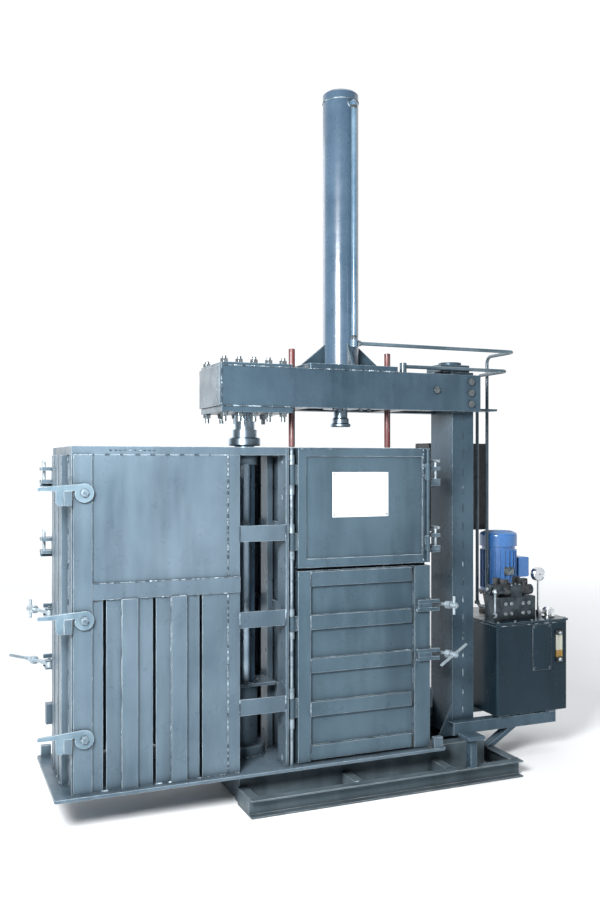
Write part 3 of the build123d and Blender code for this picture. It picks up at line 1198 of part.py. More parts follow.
# Hook latches on the slatted side, lying over keepers on the end wall
HOOK_X = BOX_OUTER_X - 43
HOOK_Z = up_box(0.1608, 0.5, 0.8648)
HOOK_EYE = 34
HOOK_PIN = 9
HOOK_WALL = 10
HOOK_UNDER = 8
HOOK_END_X = HOOK_X + 164
KEEPER_X1 = BOX_OUTER_X + 28
TOOTH_X1 = KEEPER_X1 + 29
TOOTH_DROP = 45
HOOK_GAP = 2
hook_plane = Plane.XZ.offset(-(STILE_FACE_Y + HOOK_GAP))
for level, z in zip(("low", "middle", "high"), HOOK_Z):
    with BuildPart() as hook:
        with BuildSketch(hook_plane):
            with Locations((HOOK_X, z)):
                Circle(HOOK_EYE)
            Polygon(
                (HOOK_X, z + HOOK_UNDER),
                (KEEPER_X1 + AIR, z + HOOK_UNDER),
                (KEEPER_X1 + AIR + 3, z - TOOTH_DROP),
                (TOOTH_X1 - 10, z - TOOTH_DROP),
                (TOOTH_X1, z - TOOTH_DROP + 10),
                (TOOTH_X1, z + HOOK_UNDER),
                (HOOK_END_X - 4, z + HOOK_UNDER),
                (HOOK_END_X, z + HOOK_UNDER + 4),
                (HOOK_END_X - 4, z + HOOK_UNDER + 14),
                (TOOTH_X1, z + HOOK_UNDER + 18),
                (HOOK_X, z + HOOK_EYE),
                align=None,
            )
            with Locations((HOOK_X, z)):
                Circle(HOOK_PIN + SLIDE, mode=Mode.SUBTRACT)
        extrude(amount=-HOOK_WALL)
    for side, turn in (("right", 0), ("left", 180)):
        turned = hook.part.rotate(Axis.Z, turn)
        turned.label = f"hook_{level}_{side}"
        export_step(turned, f"parts/hook_{level}_{side}.step")

# Latch brackets welded to the boxes: hook pins and keepers, clamp lugs, drop pin guides
KEEPER_Y0 = 215
HOOK_FACE_Y = STILE_FACE_Y + HOOK_GAP
EYE_HALF = CLAMP_EYE_HALF + AIR
EAR_WALL = 8
EAR_HALF = 13
EAR_END = 16
EAR_PIN_END = 14
BACK_BAR_Y0 = FRONT_Y + 4
BACK_BAR_Y1 = FRONT_Y + 36
BACK_BAR_WALL = 8
HOOK_NUT_RADIUS = 15
HOOK_NUT_HEIGHT = 8
with BuildPart() as hook_fittings:
    for z in HOOK_Z:
        with BuildSketch(Plane.XZ.offset(-STILE_FACE_Y)):
            with Locations((HOOK_X, z)):
                Circle(HOOK_PIN + 6)
        extrude(amount=-(HOOK_GAP - AIR))
        with BuildSketch(Plane.XZ.offset(-STILE_FACE_Y)):
            with Locations((HOOK_X, z)):
                Circle(HOOK_PIN)
        extrude(amount=-(HOOK_GAP + HOOK_WALL + HOOK_NUT_HEIGHT + 2))
        with BuildSketch(Plane.XZ.offset(-(HOOK_FACE_Y + HOOK_WALL + AIR))):
            with Locations((HOOK_X, z)):
                RegularPolygon(HOOK_NUT_RADIUS, 6)
        extrude(amount=-HOOK_NUT_HEIGHT)
        plate(BOX_OUTER_X, KEEPER_X1, KEEPER_Y0, HOOK_FACE_Y + HOOK_WALL, z - TOOTH_DROP,
              z + HOOK_UNDER - AIR)
with BuildPart() as clamp_lugs:
    for z in CLAMP_Z:
        for z0 in (z - EYE_HALF - EAR_WALL, z + EYE_HALF):
            plate(BOX_OUTER_X, CLAMP_X + EAR_END, CLAMP_Y - EAR_HALF, CLAMP_Y + EAR_HALF, z0,
                  z0 + EAR_WALL)
        upright(CLAMP_X, CLAMP_Y, z - EYE_HALF - EAR_WALL, z + EYE_HALF + EAR_PIN_END, CLAMP_PIN)
GUIDE_X0 = BOX_OUTER_X + 10
with BuildPart() as pin_guides:
    for z in PIN_Z:
        for z0 in (z, z + LEAF_GAP):
            plate(GUIDE_X0, PIN_X + EAR_END, PIN_Y - LEAF_WALL, BACK_BAR_Y1, z0, z0 + LEAF_WALL)
            plate(BOX_OUTER_X, GUIDE_X0, BACK_BAR_Y0, BACK_BAR_Y1, z0, z0 + LEAF_WALL)
        plate(BOX_OUTER_X, GUIDE_X0 + BACK_BAR_WALL, BACK_BAR_Y1 - BACK_BAR_WALL, BACK_BAR_Y1, z,
              z + LEAF_GAP + LEAF_WALL)
        upright(PIN_X, PIN_Y, z, z + LEAF_GAP + LEAF_WALL, PIN_RADIUS + SLIDE, Mode.SUBTRACT)
FOOT_LATCH = (40, 23, 44)
LOW_BRACKET = (40, 40, 80)
FOOT_LATCH_X = FLOOR_HALF_X - 54
FOOT_LATCH_Y = 6 - FLOOR_HALF_Y
with BuildPart() as low_latches:
    with Locations((BOX_OUTER_X, BACK_BAR_Y0, *up_box(0.1224))):
        Box(*LOW_BRACKET, align=Align.MIN)
    with Locations((FOOT_LATCH_X, FOOT_LATCH_Y, BOX_Z0)):
        Box(*FOOT_LATCH, align=Align.MIN)
fittings = [hook_fittings.part, clamp_lugs.part, pin_guides.part, low_latches.part]
latch_brackets = weldment(*fittings, *(part.rotate(Axis.Z, 180) for part in fittings))
latch_brackets.label = "latch_brackets"
export_step(latch_brackets, "parts/latch_brackets.step")
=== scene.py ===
"""Dresses the twin-box swivel baler in its real finishes, with welds, fittings and a dial.

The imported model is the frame. Each sub-assembly is a class that holds its sizes and builds
its own meshes; each finish is a class named after the real material. Metres, with the origin
on the floor under the pivot column, +X to the press column and +Y away from the operator.
"""
from __future__ import annotations

import json
import logging
import math
from dataclasses import dataclass, field
from enum import Enum
from typing import Any, Iterable, Iterator, Sequence

import bmesh
import bpy
from mathutils import Matrix, Vector

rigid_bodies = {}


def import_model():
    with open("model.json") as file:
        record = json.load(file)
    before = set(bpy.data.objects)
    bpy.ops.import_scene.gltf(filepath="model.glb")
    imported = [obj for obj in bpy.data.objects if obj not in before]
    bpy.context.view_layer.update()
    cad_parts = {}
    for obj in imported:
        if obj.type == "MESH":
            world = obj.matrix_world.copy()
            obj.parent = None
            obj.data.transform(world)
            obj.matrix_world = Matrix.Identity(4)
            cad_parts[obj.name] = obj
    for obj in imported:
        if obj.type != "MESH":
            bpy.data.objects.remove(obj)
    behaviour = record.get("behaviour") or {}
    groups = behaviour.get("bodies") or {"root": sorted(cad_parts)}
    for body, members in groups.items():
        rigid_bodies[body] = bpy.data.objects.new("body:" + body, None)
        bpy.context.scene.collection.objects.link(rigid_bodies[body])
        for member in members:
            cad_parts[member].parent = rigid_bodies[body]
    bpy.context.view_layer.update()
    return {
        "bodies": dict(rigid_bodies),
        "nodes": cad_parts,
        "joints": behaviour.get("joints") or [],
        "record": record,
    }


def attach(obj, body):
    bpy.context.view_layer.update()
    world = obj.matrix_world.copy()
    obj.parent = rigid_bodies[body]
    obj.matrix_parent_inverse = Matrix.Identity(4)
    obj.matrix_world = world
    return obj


LOG = logging.getLogger("baler")

Point = Sequence[float]
Pair = tuple[float, float]
Spot = tuple[float, float, float]
Row = tuple[float, ...]
Colour = tuple[float, float, float, float]
Tree = bpy.types.NodeTree
Socket = bpy.types.NodeSocket
Mesh = bmesh.types.BMesh
Vert = bmesh.types.BMVert
Value = Socket | float | Sequence[float]
Inputs = dict[str | int, Value]

# An outline whose smallest radius in millimetres is no more than this reaches the axis
AXIS_REACH = 0.5
# One dab of weld is this many radii of the bead long
DAB = 1.5
# Heights in millimetres between which the knuckles of each hinge stand
HINGES_Z = ((289.0, 446.0), (642.0, 759.0), (955.0, 1093.0), (1210.0, 1367.0))


class Way(Enum):
    """The directions that fittings point in."""

    UP = (0.0, 0.0, 1.0)
    DOWN = (0.0, 0.0, -1.0)
    FRONT = (0.0, -1.0, 0.0)
    BACK = (0.0, 1.0, 0.0)
    LEFT = (-1.0, 0.0, 0.0)
    RIGHT = (1.0, 0.0, 0.0)

    @property
    def line(self) -> Vector:
        """The direction as a vector of length one."""
        return Vector(self.value)


class Boxes(Enum):
    """Which box a mesh dresses; the left one is the right one after half a turn."""

    RIGHT = "right"
    LEFT = "left"
    BOTH = "both"


def linear(code: str) -> Colour:
    """Turn an sRGB hex colour into linear light.

    Args:
        code: six hex digits, with or without a leading hash.

    Returns:
        Red, green, blue and an alpha of one.
    """
    parts = [int(code.lstrip("#")[i : i + 2], 16) / 255 for i in (0, 2, 4)]
    light = [c / 12.92 if c <= 0.04045 else ((c + 0.055) / 1.055) ** 2.4 for c in parts]
    return (light[0], light[1], light[2], 1.0)


def per_metre(millimetres: float) -> float:
    """Pattern scale whose features are that many millimetres across."""
    return 1000.0 / millimetres


def mm(x: float, y: float, z: float) -> Vector:
    """A point given in millimetres, in metres."""
    return Vector((x, y, z)) / 1000.0


def add_node(
    tree: Tree, kind: str, inputs: Inputs | None = None, **settings: Any
) -> bpy.types.Node:
    """Add a shader node with its settings and its inputs.

    Args:
        tree: the node tree it goes in.
        kind: the node's type name, such as ShaderNodeBump.
        inputs: a constant, or the output to link, for each input by name or number.
        **settings: the node's own properties.

    Returns:
        The new node.
    """
    node = tree.nodes.new(kind)
    for key, value in settings.items():
        setattr(node, key, value)
    for key, value in (inputs or {}).items():
        if isinstance(value, bpy.types.NodeSocket):
            tree.links.new(value, node.inputs[key])
        else:
            node.inputs[key].default_value = value
    return node


@dataclass(frozen=True)
class Cloud:
    """Blotches on a surface: their size, and which part of their range shows.

    The size is in millimetres. Noise from low to high gives a value from 0 to 1.
    """

    size: float
    detail: float
    rough: float
    low: float = 0.0
    high: float = 1.0

    def spread(self, tree: Tree, place: Socket, least: float = 0.0, most: float = 1.0) -> Socket:
        """Lay the blotches out and stretch them to a range.

        Args:
            tree: the node tree.
            place: coordinates in metres, fixed to the piece.
            least: value at the low end.
            most: value at the high end.

        Returns:
            The blotches' value, kept within the range.
        """
        scale = per_metre(self.size)
        look = {"Vector": place, "Scale": scale, "Detail": self.detail, "Roughness": self.rough}
        noise = add_node(tree, "ShaderNodeTexNoise", look)
        limits = {0: noise.outputs[0], 1: self.low, 2: self.high, 3: least, 4: most}
        return add_node(tree, "ShaderNodeMapRange", limits).outputs[0]

    def skin(self, tree: Tree, place: Socket, depth: float, round_off: Socket | float = 0.0) -> Socket:
        """Raise the surface with the blotches over its rounded edges.

        Args:
            tree: the node tree.
            place: coordinates in metres, fixed to the piece.
            depth: real depth of the relief in millimetres.
            round_off: radius the edges look rounded to in millimetres, or their ready normal.

        Returns:
            The normal of the raised surface.
        """
        inputs: Inputs = {"Height": self.spread(tree, place), "Distance": depth / 1000.0}
        if isinstance(round_off, bpy.types.NodeSocket):
            inputs["Normal"] = round_off
        elif round_off:
            edges = add_node(tree, "ShaderNodeBevel", {"Radius": round_off / 1000.0}, samples=4)
            inputs["Normal"] = edges.outputs[0]
        return add_node(tree, "ShaderNodeBump", inputs).outputs[0]


def layered(tree: Tree, ground: str, layers: Iterable[tuple[Socket, str]]) -> Socket:
    """Lay colours over one another, as coats, grime and wear lie on a real surface; painted shade goes
    on the same way.

    Args:
        tree: the node tree.
        ground: the colour underneath, as hex digits.
        layers: how much each layer covers, from 0 to 1, and its colour, the lowest first.

    Returns:
        The colour that shows.
    """
    below: Value = linear(ground)
    for cover, colour in layers:
        inputs: Inputs = {0: cover, 6: below, 7: linear(colour)}
        below = add_node(tree, "ShaderNodeMix", inputs, data_type="RGBA").outputs[2]
    return below


def rubbed_and_highlit_edges(tree: Tree, place: Socket, width: float, patch: float) -> tuple[Socket, Socket]:
    """Where hands, pallets and bales have worn the corners of a coat by rubbing, with the paler corners
    also standing as painted highlight.

    Args:
        tree: the node tree.
        place: coordinates in metres.
        width: how far from the corner the rubbing reaches, in millimetres.
        patch: length of each rubbed patch in millimetres.

    Returns:
        The amount of wear and painted highlight from 0 to 1, and the softened normal.
    """
    soft = add_node(tree, "ShaderNodeBevel", {"Radius": width / 1000.0}, samples=4).outputs[0]
    flat = add_node(tree, "ShaderNodeNewGeometry").outputs["True Normal"]
    agree = add_node(tree, "ShaderNodeVectorMath", {0: soft, 1: flat}, operation="DOT_PRODUCT")
    limits = {0: agree.outputs["Value"], 1: 0.995, 2: 0.86, 3: 0.0, 4: 1.0}
    corner = add_node(tree, "ShaderNodeMapRange", limits).outputs[0]
    worn_and_highlit = Cloud(patch, 5.0, 0.7, 0.36, 0.6).spread(tree, place, 0.25, 1.0)
    both = add_node(tree, "ShaderNodeMath", {0: corner, 1: worn_and_highlit}, operation="MULTIPLY")
    return both.outputs[0], soft


class Finish:
    """A real finish that can be laid on a piece as a node material."""

    name: str

    def surface(self) -> bpy.types.Material:
        """Make the material once and hand the same one out after that.

        Returns:
            The material with its nodes in place.
        """
        known = bpy.data.materials.get(self.name)
        if known:
            return known
        material = bpy.data.materials.new(self.name)
        material.use_nodes = True
        tree = material.node_tree
        tree.nodes.clear()
        place = add_node(tree, "ShaderNodeTexCoord").outputs["Object"]
        shader = add_node(tree, "ShaderNodeBsdfPrincipled", self.lay(tree, place))
        add_node(tree, "ShaderNodeOutputMaterial", {"Surface": shader.outputs[0]})
        return material

    def lay(self, tree: Tree, place: Socket) -> Inputs:
        """Work the finish out as what the principled shader takes.

        Args:
            tree: the node tree of the material.
            place: coordinates in metres, fixed to the piece.

        Returns:
            A constant or an output for each of the shader's inputs.
        """
        raise NotImplementedError


@dataclass(frozen=True)
class SprayedEnamel(Finish):
    """Alkyd enamel sprayed on rolled steel plate, half gloss."""

    name: str
    coat: str
    thin: str
    rubbed_and_highlight: str
    roughness: float
    cloud: float = 420.0
    grime: float = 0.35
    soot: str = "#141b21"
    corner_shade: str = "#0e151a"
    glint: str = "#b4d2e4"

    def lay(self, tree: Tree, place: Socket) -> Inputs:
        """Work out the coat: thin patches, wipe marks, painted corner shade, edges worn and painted as
        highlight, and its skin.

        Args:
            tree: the node tree of the material.
            place: coordinates in metres, fixed to the piece.

        Returns:
            What each of the shader's inputs takes.
        """
        # It gives the eye soft broad highlights, cloudy patches, faint upright wipe marks, painted shade
        # in inner corners, an orange-peel skin and pale outer corners, partly wear and partly painted
        # highlight
        squeeze = {"Vector": place, "Scale": (1.0, 1.0, 0.16)}
        drawn = add_node(tree, "ShaderNodeMapping", squeeze).outputs[0]
        worn_and_highlit, soft = rubbed_and_highlit_edges(tree, place, 3.0, 70.0)
        # Painted shade: the coat darkens in the inner corners, within about 40 mm of them, where shade
        # falls
        inner = add_node(tree, "ShaderNodeAmbientOcclusion", {"Distance": 0.04}, samples=4)
        limits = {0: inner.outputs["AO"], 1: 0.86, 2: 0.40, 3: 0.0, 4: 0.75}
        painted_shade = add_node(tree, "ShaderNodeMapRange", limits).outputs[0]
        thin = Cloud(self.cloud, 4.0, 0.55, 0.34, 0.66)
        wiped = Cloud(46.0, 4.0, 0.6, 0.42, 0.72)
        sooty = Cloud(95.0, 3.0, 0.5, 0.46, 0.74)
        specks = Cloud(6.0, 2.0, 0.5, 0.76, 0.82)
        layers = (
            (thin.spread(tree, place), self.thin),
            (wiped.spread(tree, drawn, 0.0, 0.55), self.thin),
            (sooty.spread(tree, drawn, 0.0, self.grime), self.soot),
            # Painted shade in the inner corners, darker where the ambient occlusion is deeper
            (painted_shade, self.corner_shade),
            (specks.spread(tree, place, 0.0, 0.3), self.rubbed_and_highlight),
            # Pale edges: partly wear from rubbing, partly painted highlight where corners catch the
            # light
            (worn_and_highlit, self.rubbed_and_highlight),
        )
        patchy = Cloud(90.0, 5.0, 0.65, 0.3, 0.7)
        # Orange peel is near 2 mm; it is drawn at 9 mm, with plate waviness under it, to show
        peel = Cloud(9.0, 2.0, 0.5).spread(tree, place)
        waves = Cloud(160.0, 2.0, 0.4).spread(tree, place)
        both = {0: peel, 1: 0.08, 2: waves}
        height = add_node(tree, "ShaderNodeMath", both, operation="MULTIPLY_ADD").outputs[0]
        raised = {"Height": height, "Distance": 0.0008, "Normal": soft}
        return {
            "Base Color": layered(tree, self.coat, layers),
            "Roughness": patchy.spread(tree, place, self.roughness - 0.07, self.roughness + 0.10),
            "Specular Tint": linear(self.glint),
            "Specular IOR Level": 0.4,
            "Normal": add_node(tree, "ShaderNodeBump", raised).outputs[0],
        }


@dataclass(frozen=True)
class GlossEnamel(Finish):
    """Two-coat machine enamel brushed on smooth tube or castings, full gloss."""

    name: str
    coat: str
    chipped: str
    roughness: float = 0.20
    gloss_coat: float = 0.5

    def lay(self, tree: Tree, place: Socket) -> Inputs:
        """Work out the coat, its chips and its sags.

        Args:
            tree: the node tree of the material.
            place: coordinates in metres, fixed to the piece.

        Returns:
            What each of the shader's inputs takes.
        """
        # It gives the eye a sharp bright highlight down the tube, with slight sags in the coat
        worn_and_highlit, soft = rubbed_and_highlit_edges(tree, place, 2.0, 30.0)
        clouded = Cloud(180.0, 4.0, 0.55, 0.35, 0.7).spread(tree, place, 0.0, 0.35)
        chips = Cloud(9.0, 4.0, 0.7, 0.66, 0.70).spread(tree, place, 0.0, 0.7)
        layers = [(cover, self.chipped) for cover in (clouded, chips, worn_and_highlit)]
        brushed = Cloud(60.0, 4.0, 0.55, 0.3, 0.7)
        return {
            "Base Color": layered(tree, self.coat, layers),
            "Roughness": brushed.spread(tree, place, self.roughness, self.roughness + 0.12),
            "Coat Weight": self.gloss_coat,
            "Coat Roughness": 0.12,
            "Normal": Cloud(24.0, 2.0, 0.4).skin(tree, place, 0.25, soft),
        }


@dataclass(frozen=True)
class HandledSteel(Finish):
    """Forged steel polished by hands and by its own rubbing, with paint left in the hollows."""

    name: str
    steel: str = "#aebbc3"
    paint: str = "#5c6d79"
    painted: float = 0.55
    roughness: float = 0.34

    def lay(self, tree: Tree, place: Socket) -> Inputs:
        """Work out the paint islands, the scratches and the metal.

        Args:
            tree: the node tree of the material.
            place: coordinates in metres, fixed to the piece.

        Returns:
            What each of the shader's inputs takes.
        """
        # It gives the eye pale grey metal with bluish paint islands and fine scratches
        islands = Cloud(34.0, 5.0, 0.7, 0.46, 0.58)
        left = islands.spread(tree, place, 0.0, self.painted)
        worn_and_highlit, soft = rubbed_and_highlit_edges(tree, place, 2.0, 22.0)
        layers = ((left, self.paint), (worn_and_highlit, self.steel))
        bare = 0.85 - 0.75 * self.painted
        scratched = Cloud(12.0, 5.0, 0.75, 0.3, 0.7)
        return {
            "Base Color": layered(tree, self.steel, layers),
            "Metallic": islands.spread(tree, place, 0.85, bare),
            "Roughness": scratched.spread(tree, place, self.roughness, self.roughness + 0.18),
            "Normal": Cloud(6.0, 4.0, 0.65).skin(tree, place, 0.35, soft),
        }


@dataclass(frozen=True)
class SightGlass(Finish):
    """Clear acrylic over amber hydraulic oil, with the oil's level in metres."""

    name: str = "sight_glass_oil"
    oil: str = "#8a6a24"
    empty: str = "#a9aba0"
    level: float = 0.475

    def lay(self, tree: Tree, place: Socket) -> Inputs:
        """Work out the oil level by height.

        Args:
            tree: the node tree of the material.
            place: coordinates in metres, fixed to the piece.

        Returns:
            What each of the shader's inputs takes.
        """
        # It gives the eye a wet glossy strip, dark honey below and paler above
        height = add_node(tree, "ShaderNodeSeparateXYZ", {0: place}).outputs[2]
        limits = {0: height, 1: self.level - 0.001, 2: self.level + 0.001}
        above = add_node(tree, "ShaderNodeMapRange", limits).outputs[0]
        return {
            "Base Color": layered(tree, self.oil, [(above, self.empty)]),
            "Roughness": 0.08,
            "Coat Weight": 0.8,
            "Normal": Cloud(12.0, 2.0, 0.55).skin(tree, place, 0.05),
        }


@dataclass(frozen=True)
class Marked(Finish):
    """A clean surface and the marks on it, which one cloud of blotches mixes.

    Metal and roughness run from the clean surface's value to the marked one's.
    """

    name: str
    clean: str
    marked: str
    roughness: Pair
    marks: Cloud
    relief: Cloud
    depth: float
    metal: Pair = (0.0, 0.0)
    cover: float = 1.0
    round_off: float = 0.0
    marks_squeeze: Spot = (1.0, 1.0, 1.0)
    relief_squeeze: Spot = (1.0, 1.0, 1.0)

    def lay(self, tree: Tree, place: Socket) -> Inputs:
        """Mix both looks and raise the relief.

        Args:
            tree: the node tree of the material.
            place: coordinates in metres, fixed to the piece.

        Returns:
            What each of the shader's inputs takes.
        """
        along, around = (
            add_node(tree, "ShaderNodeMapping", {"Vector": place, "Scale": squeeze}).outputs[0]
            for squeeze in (self.marks_squeeze, self.relief_squeeze)
        )
        cover = self.marks.spread(tree, along, 0.0, self.cover)
        return {
            "Base Color": layered(tree, self.clean, [(cover, self.marked)]),
            "Metallic": self.marks.spread(tree, along, *self.metal),
            "Roughness": self.marks.spread(tree, along, *self.roughness),
            "Normal": self.relief.skin(tree, around, self.depth, self.round_off),
        }


@dataclass(frozen=True)
class PaintedWeld(Marked):
    """A steel weld bead under the same enamel, cut bright in places by a wire brush, its bright runs
    partly painted highlight.
    """

    # It gives the eye small sharp glints along a line of ripples; the pale runs are partly painted
    # glints
    name: str = "painted_weld"
    clean: str = "#2c3943"
    marked: str = "#9fb0ba"
    roughness: Pair = (0.36, 0.36)
    marks: Cloud = Cloud(26.0, 3.0, 0.55, 0.50, 0.66)
    relief: Cloud = Cloud(3.0, 3.0, 0.6)
    depth: float = 0.3
    metal: Pair = (0.0, 0.35)


@dataclass(frozen=True)
class TurnedSteel(Marked):
    """Carbon steel turned in a lathe and polished, with an oil film."""

    # It gives the eye long mirror-like streaks broken by fine rings and dark oily patches
    name: str = "oiled_turned_steel"
    clean: str = "#a3b6c4"
    marked: str = "#56697a"
    roughness: Pair = (0.24, 0.352)
    marks: Cloud = Cloud(240.0, 3.0, 0.5, 0.44, 0.66)
    # Tool rings are 0.2 mm apart; they are drawn 4 mm apart so that they show
    relief: Cloud = Cloud(4.0, 2.0, 0.5)
    depth: float = 0.12
    metal: Pair = (1.0, 1.0)
    cover: float = 0.7
    round_off: float = 2.0
    relief_squeeze: Spot = (0.02, 0.02, 1.0)


@dataclass(frozen=True)
class ZincPlate(Marked):
    """Carbon steel fasteners and fittings, zinc-plated and blue-passivated."""

    # It gives the eye cool grey metal with a faint crystalline mottle
    clean: str = "#b4bcc0"
    marked: str = "#7b868c"
    roughness: Pair = (0.3, 0.44)
    marks: Cloud = Cloud(8.0, 3.0, 0.6, 0.38, 0.62)
    relief: Cloud = Cloud(8.0, 3.0, 0.6, 0.38, 0.62)
    depth: float = 0.06
    metal: Pair = (1.0, 1.0)
    round_off: float = 1.5


@dataclass(frozen=True)
class Primer(Marked):
    """Red oxide primer on drawn bar, scraped bright where the bushes rub it."""

    # It gives the eye dull brick red with long pale scores
    name: str = "red_oxide_primer"
    clean: str = "#5e2c2c"
    marked: str = "#7f787a"
    roughness: Pair = (0.55, 0.3775)
    marks: Cloud = Cloud(9.0, 4.0, 0.6, 0.50, 0.60)
    relief: Cloud = Cloud(3.0, 3.0, 0.6)
    depth: float = 0.15
    metal: Pair = (0.0, 0.6)
    cover: float = 0.75
    marks_squeeze: Spot = (1.0, 1.0, 0.05)


@dataclass(frozen=True)
class SandCastIron(Marked):
    """Grey iron cast in sand, left raw with a film of oil."""

    # It gives the eye a dark, coarse, slightly brown surface with weak highlights
    name: str = "sand_cast_iron"
    clean: str = "#6c6a66"
    marked: str = "#3d3c3a"
    roughness: Pair = (0.68, 0.42)
    marks: Cloud = Cloud(40.0, 5.0, 0.65, 0.4, 0.65)
    # Moulding sand is 0.5 mm; it is drawn at 4 mm so that it shows
    relief: Cloud = Cloud(4.0, 4.0, 0.6)
    depth: float = 0.7
    metal: Pair = (0.35, 0.35)


@dataclass(frozen=True)
class Plated(Marked):
    """Bright chromium over nickel on small fittings."""

    # It gives the eye near-white mirror metal with a little dulling dust
    name: str = "chrome_plate"
    clean: str = "#d9dde0"
    marked: str = "#d9dde0"
    roughness: Pair = (0.10, 0.3)
    marks: Cloud = Cloud(16.0, 4.0, 0.6, 0.35, 0.7)
    relief: Cloud = Cloud(10.0, 2.0, 0.55)
    depth: float = 0.04
    metal: Pair = (1.0, 1.0)
    round_off: float = 1.2


@dataclass(frozen=True)
class MouldedPlastic(Marked):
    """Polyamide, board, powder coat or grease in one colour, with a moulded or set skin."""

    # It gives the eye an even colour, a thin dust, a fine skin and soft rounded corners
    marked: str = "#8d9296"
    roughness: Pair = (0.38, 0.53)
    marks: Cloud = Cloud(30.0, 5.0, 0.6, 0.4, 0.75)
    relief: Cloud = Cloud(2.0, 2.0, 0.55)
    depth: float = 0.05
    cover: float = 0.25
    round_off: float = 1.5


FRAME_ENAMEL = SprayedEnamel("sprayed_frame_enamel", "#2a3944", "#40515d", "#9dadb7", 0.28)
BOX_ENAMEL = SprayedEnamel("sprayed_box_enamel", "#3f4d58", "#576671", "#b3c0c8", 0.30, 520.0)
# Painted shade: the doors wear the boxes' enamel made darker, for the fall of light away from the key
# lamp
SHADED_DOOR_ENAMEL = SprayedEnamel("shaded_door_enamel", "#33434e", "#485964", "#b3c0c8", 0.30, 520.0)
HOOK_ENAMEL = SprayedEnamel("worn_hook_enamel", "#485a66", "#62747f", "#c0ccd3", 0.34, 60.0, 0.2)
SKID_ENAMEL = SprayedEnamel("sprayed_skid_enamel", "#394449", "#546067", "#b0b8bc", 0.42, grime=0.5)
TANK_ENAMEL = SprayedEnamel("sprayed_tank_enamel", "#101c24", "#1b2a33", "#8494a0", 0.22)
TUBE_ENAMEL = GlossEnamel("brushed_tube_enamel", "#374b5d", "#586d80", 0.22, 0.7)
PIPE_ENAMEL = GlossEnamel("pipe_enamel", "#2d414c", "#7b8d98", 0.24)
RISER_ENAMEL = GlossEnamel("riser_enamel", "#405c71", "#8ba1b1", 0.22)
MOTOR_ENAMEL = GlossEnamel("motor_enamel", "#2c5f9c", "#6d9ccb", 0.28)
COLUMN_STEEL = TurnedSteel()
LATCH_STEEL = HandledSteel("handled_steel")
HINGE_STEEL = HandledSteel("hinge_steel", "#8b9aa4", "#43525d", 0.9, 0.36)
BOLT_ZINC = ZincPlate("bolt_zinc")
FITTING_ZINC = ZincPlate("fitting_zinc", "#9aa5aa", "#5e6a70", (0.34, 0.48))
PHOSPHATE = Cloud(70.0, 3.0, 0.6, 0.38, 0.62)
VALVE_ZINC = ZincPlate("valve_body_phosphate", "#586268", "#3c454a", (0.40, 0.54), PHOSPHATE, PHOSPHATE)
WELD = PaintedWeld()
RED_PRIMER = Primer()
CAST_IRON = SandCastIron()
CHROME = Plated()
BLACK_PLASTIC = MouldedPlastic("black_polyamide", "#15181b")
WHITE_SIGN = MouldedPlastic("white_sign_board", "#c6cdd1", roughness=(0.30, 0.336), cover=0.06)
DIAL_WHITE = MouldedPlastic("dial_card", "#f1f2ef", roughness=(0.45, 0.60))
DIAL_BLACK = MouldedPlastic("dial_ink", "#101214", roughness=(0.50, 0.65))
SET_SKIN = Cloud(6.0, 2.0, 0.55)
GREASE = MouldedPlastic("grease", "#2a2a22", roughness=(0.25, 0.40), relief=SET_SKIN)
POWDER_GRIT = Cloud(3.0, 2.0, 0.55)
PANEL_BLACK = MouldedPlastic(
    "black_powder_coat", "#14181c", roughness=(0.42, 0.468), relief=POWDER_GRIT, cover=0.08
)
OIL_GLASS = SightGlass()


def add_piece(
    name: str, mesh: Mesh, finish: Finish, body: str, crease: float = 35.0
) -> None:
    """Turn finished mesh data into a piece that rides on a body.

    Args:
        name: the piece's name.
        mesh: its mesh data, freed here.
        finish: what it is made of.
        body: the CAD body it moves with.
        crease: edges sharper than this many degrees stay sharp.
    """
    bmesh.ops.remove_doubles(mesh, verts=mesh.verts, dist=1e-6)
    bmesh.ops.recalc_face_normals(mesh, faces=mesh.faces)
    for face in mesh.faces:
        face.smooth = True
    limit = math.radians(crease)
    for edge in mesh.edges:
        edge.smooth = len(edge.link_faces) == 2 and edge.calc_face_angle(0.0) < limit
    data = bpy.data.meshes.new(name)
    mesh.to_mesh(data)
    mesh.free()
    data.materials.append(finish.surface())
    piece = bpy.data.objects.new(name, data)
    bpy.context.scene.collection.objects.link(piece)
    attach(piece, body)
    LOG.info("%s: %d faces on %s", name, len(data.polygons), body)


def frame_at(at: Vector, along: Vector) -> Matrix:
    """The place at a point whose Z runs along a direction."""
    return Matrix.Translation(at) @ along.to_track_quat("Z", "Y").to_matrix().to_4x4()


def circle(count: int, radius: float, shift: float = 0.0) -> list[Pair]:
    """Points evenly round a circle, with the first one turned on by a part of a step."""
    turns = [2 * math.pi * (k + shift) / count for k in range(count)]
    return [(radius * math.cos(turn), radius * math.sin(turn)) for turn in turns]


def add_ring(
    mesh: Mesh, place: Matrix, points: Iterable[Pair], height: float = 0.0
) -> list[Vert]:
    """Add one ring of vertices, in millimetres from a place."""
    return [mesh.verts.new(place @ mm(x, y, height)) for x, y in points]


def bridge(mesh: Mesh, rings: list[list[Vert]], closed: bool = False) -> None:
    """Join rings of equal length with faces.

    Args:
        mesh: where the rings are.
        rings: lists of vertices.
        closed: whether the last ring joins the first; if not, the ends are capped.
    """
    count = len(rings[0])
    pairs = list(zip(rings, rings[1:]))
    if closed:
        pairs.append((rings[-1], rings[0]))
    for a, b in pairs:
        for i in range(count):
            j = (i + 1) % count
            mesh.faces.new((a[i], a[j], b[j], b[i]))
    if not closed:
        mesh.faces.new(list(reversed(rings[0])))
        mesh.faces.new(rings[-1])


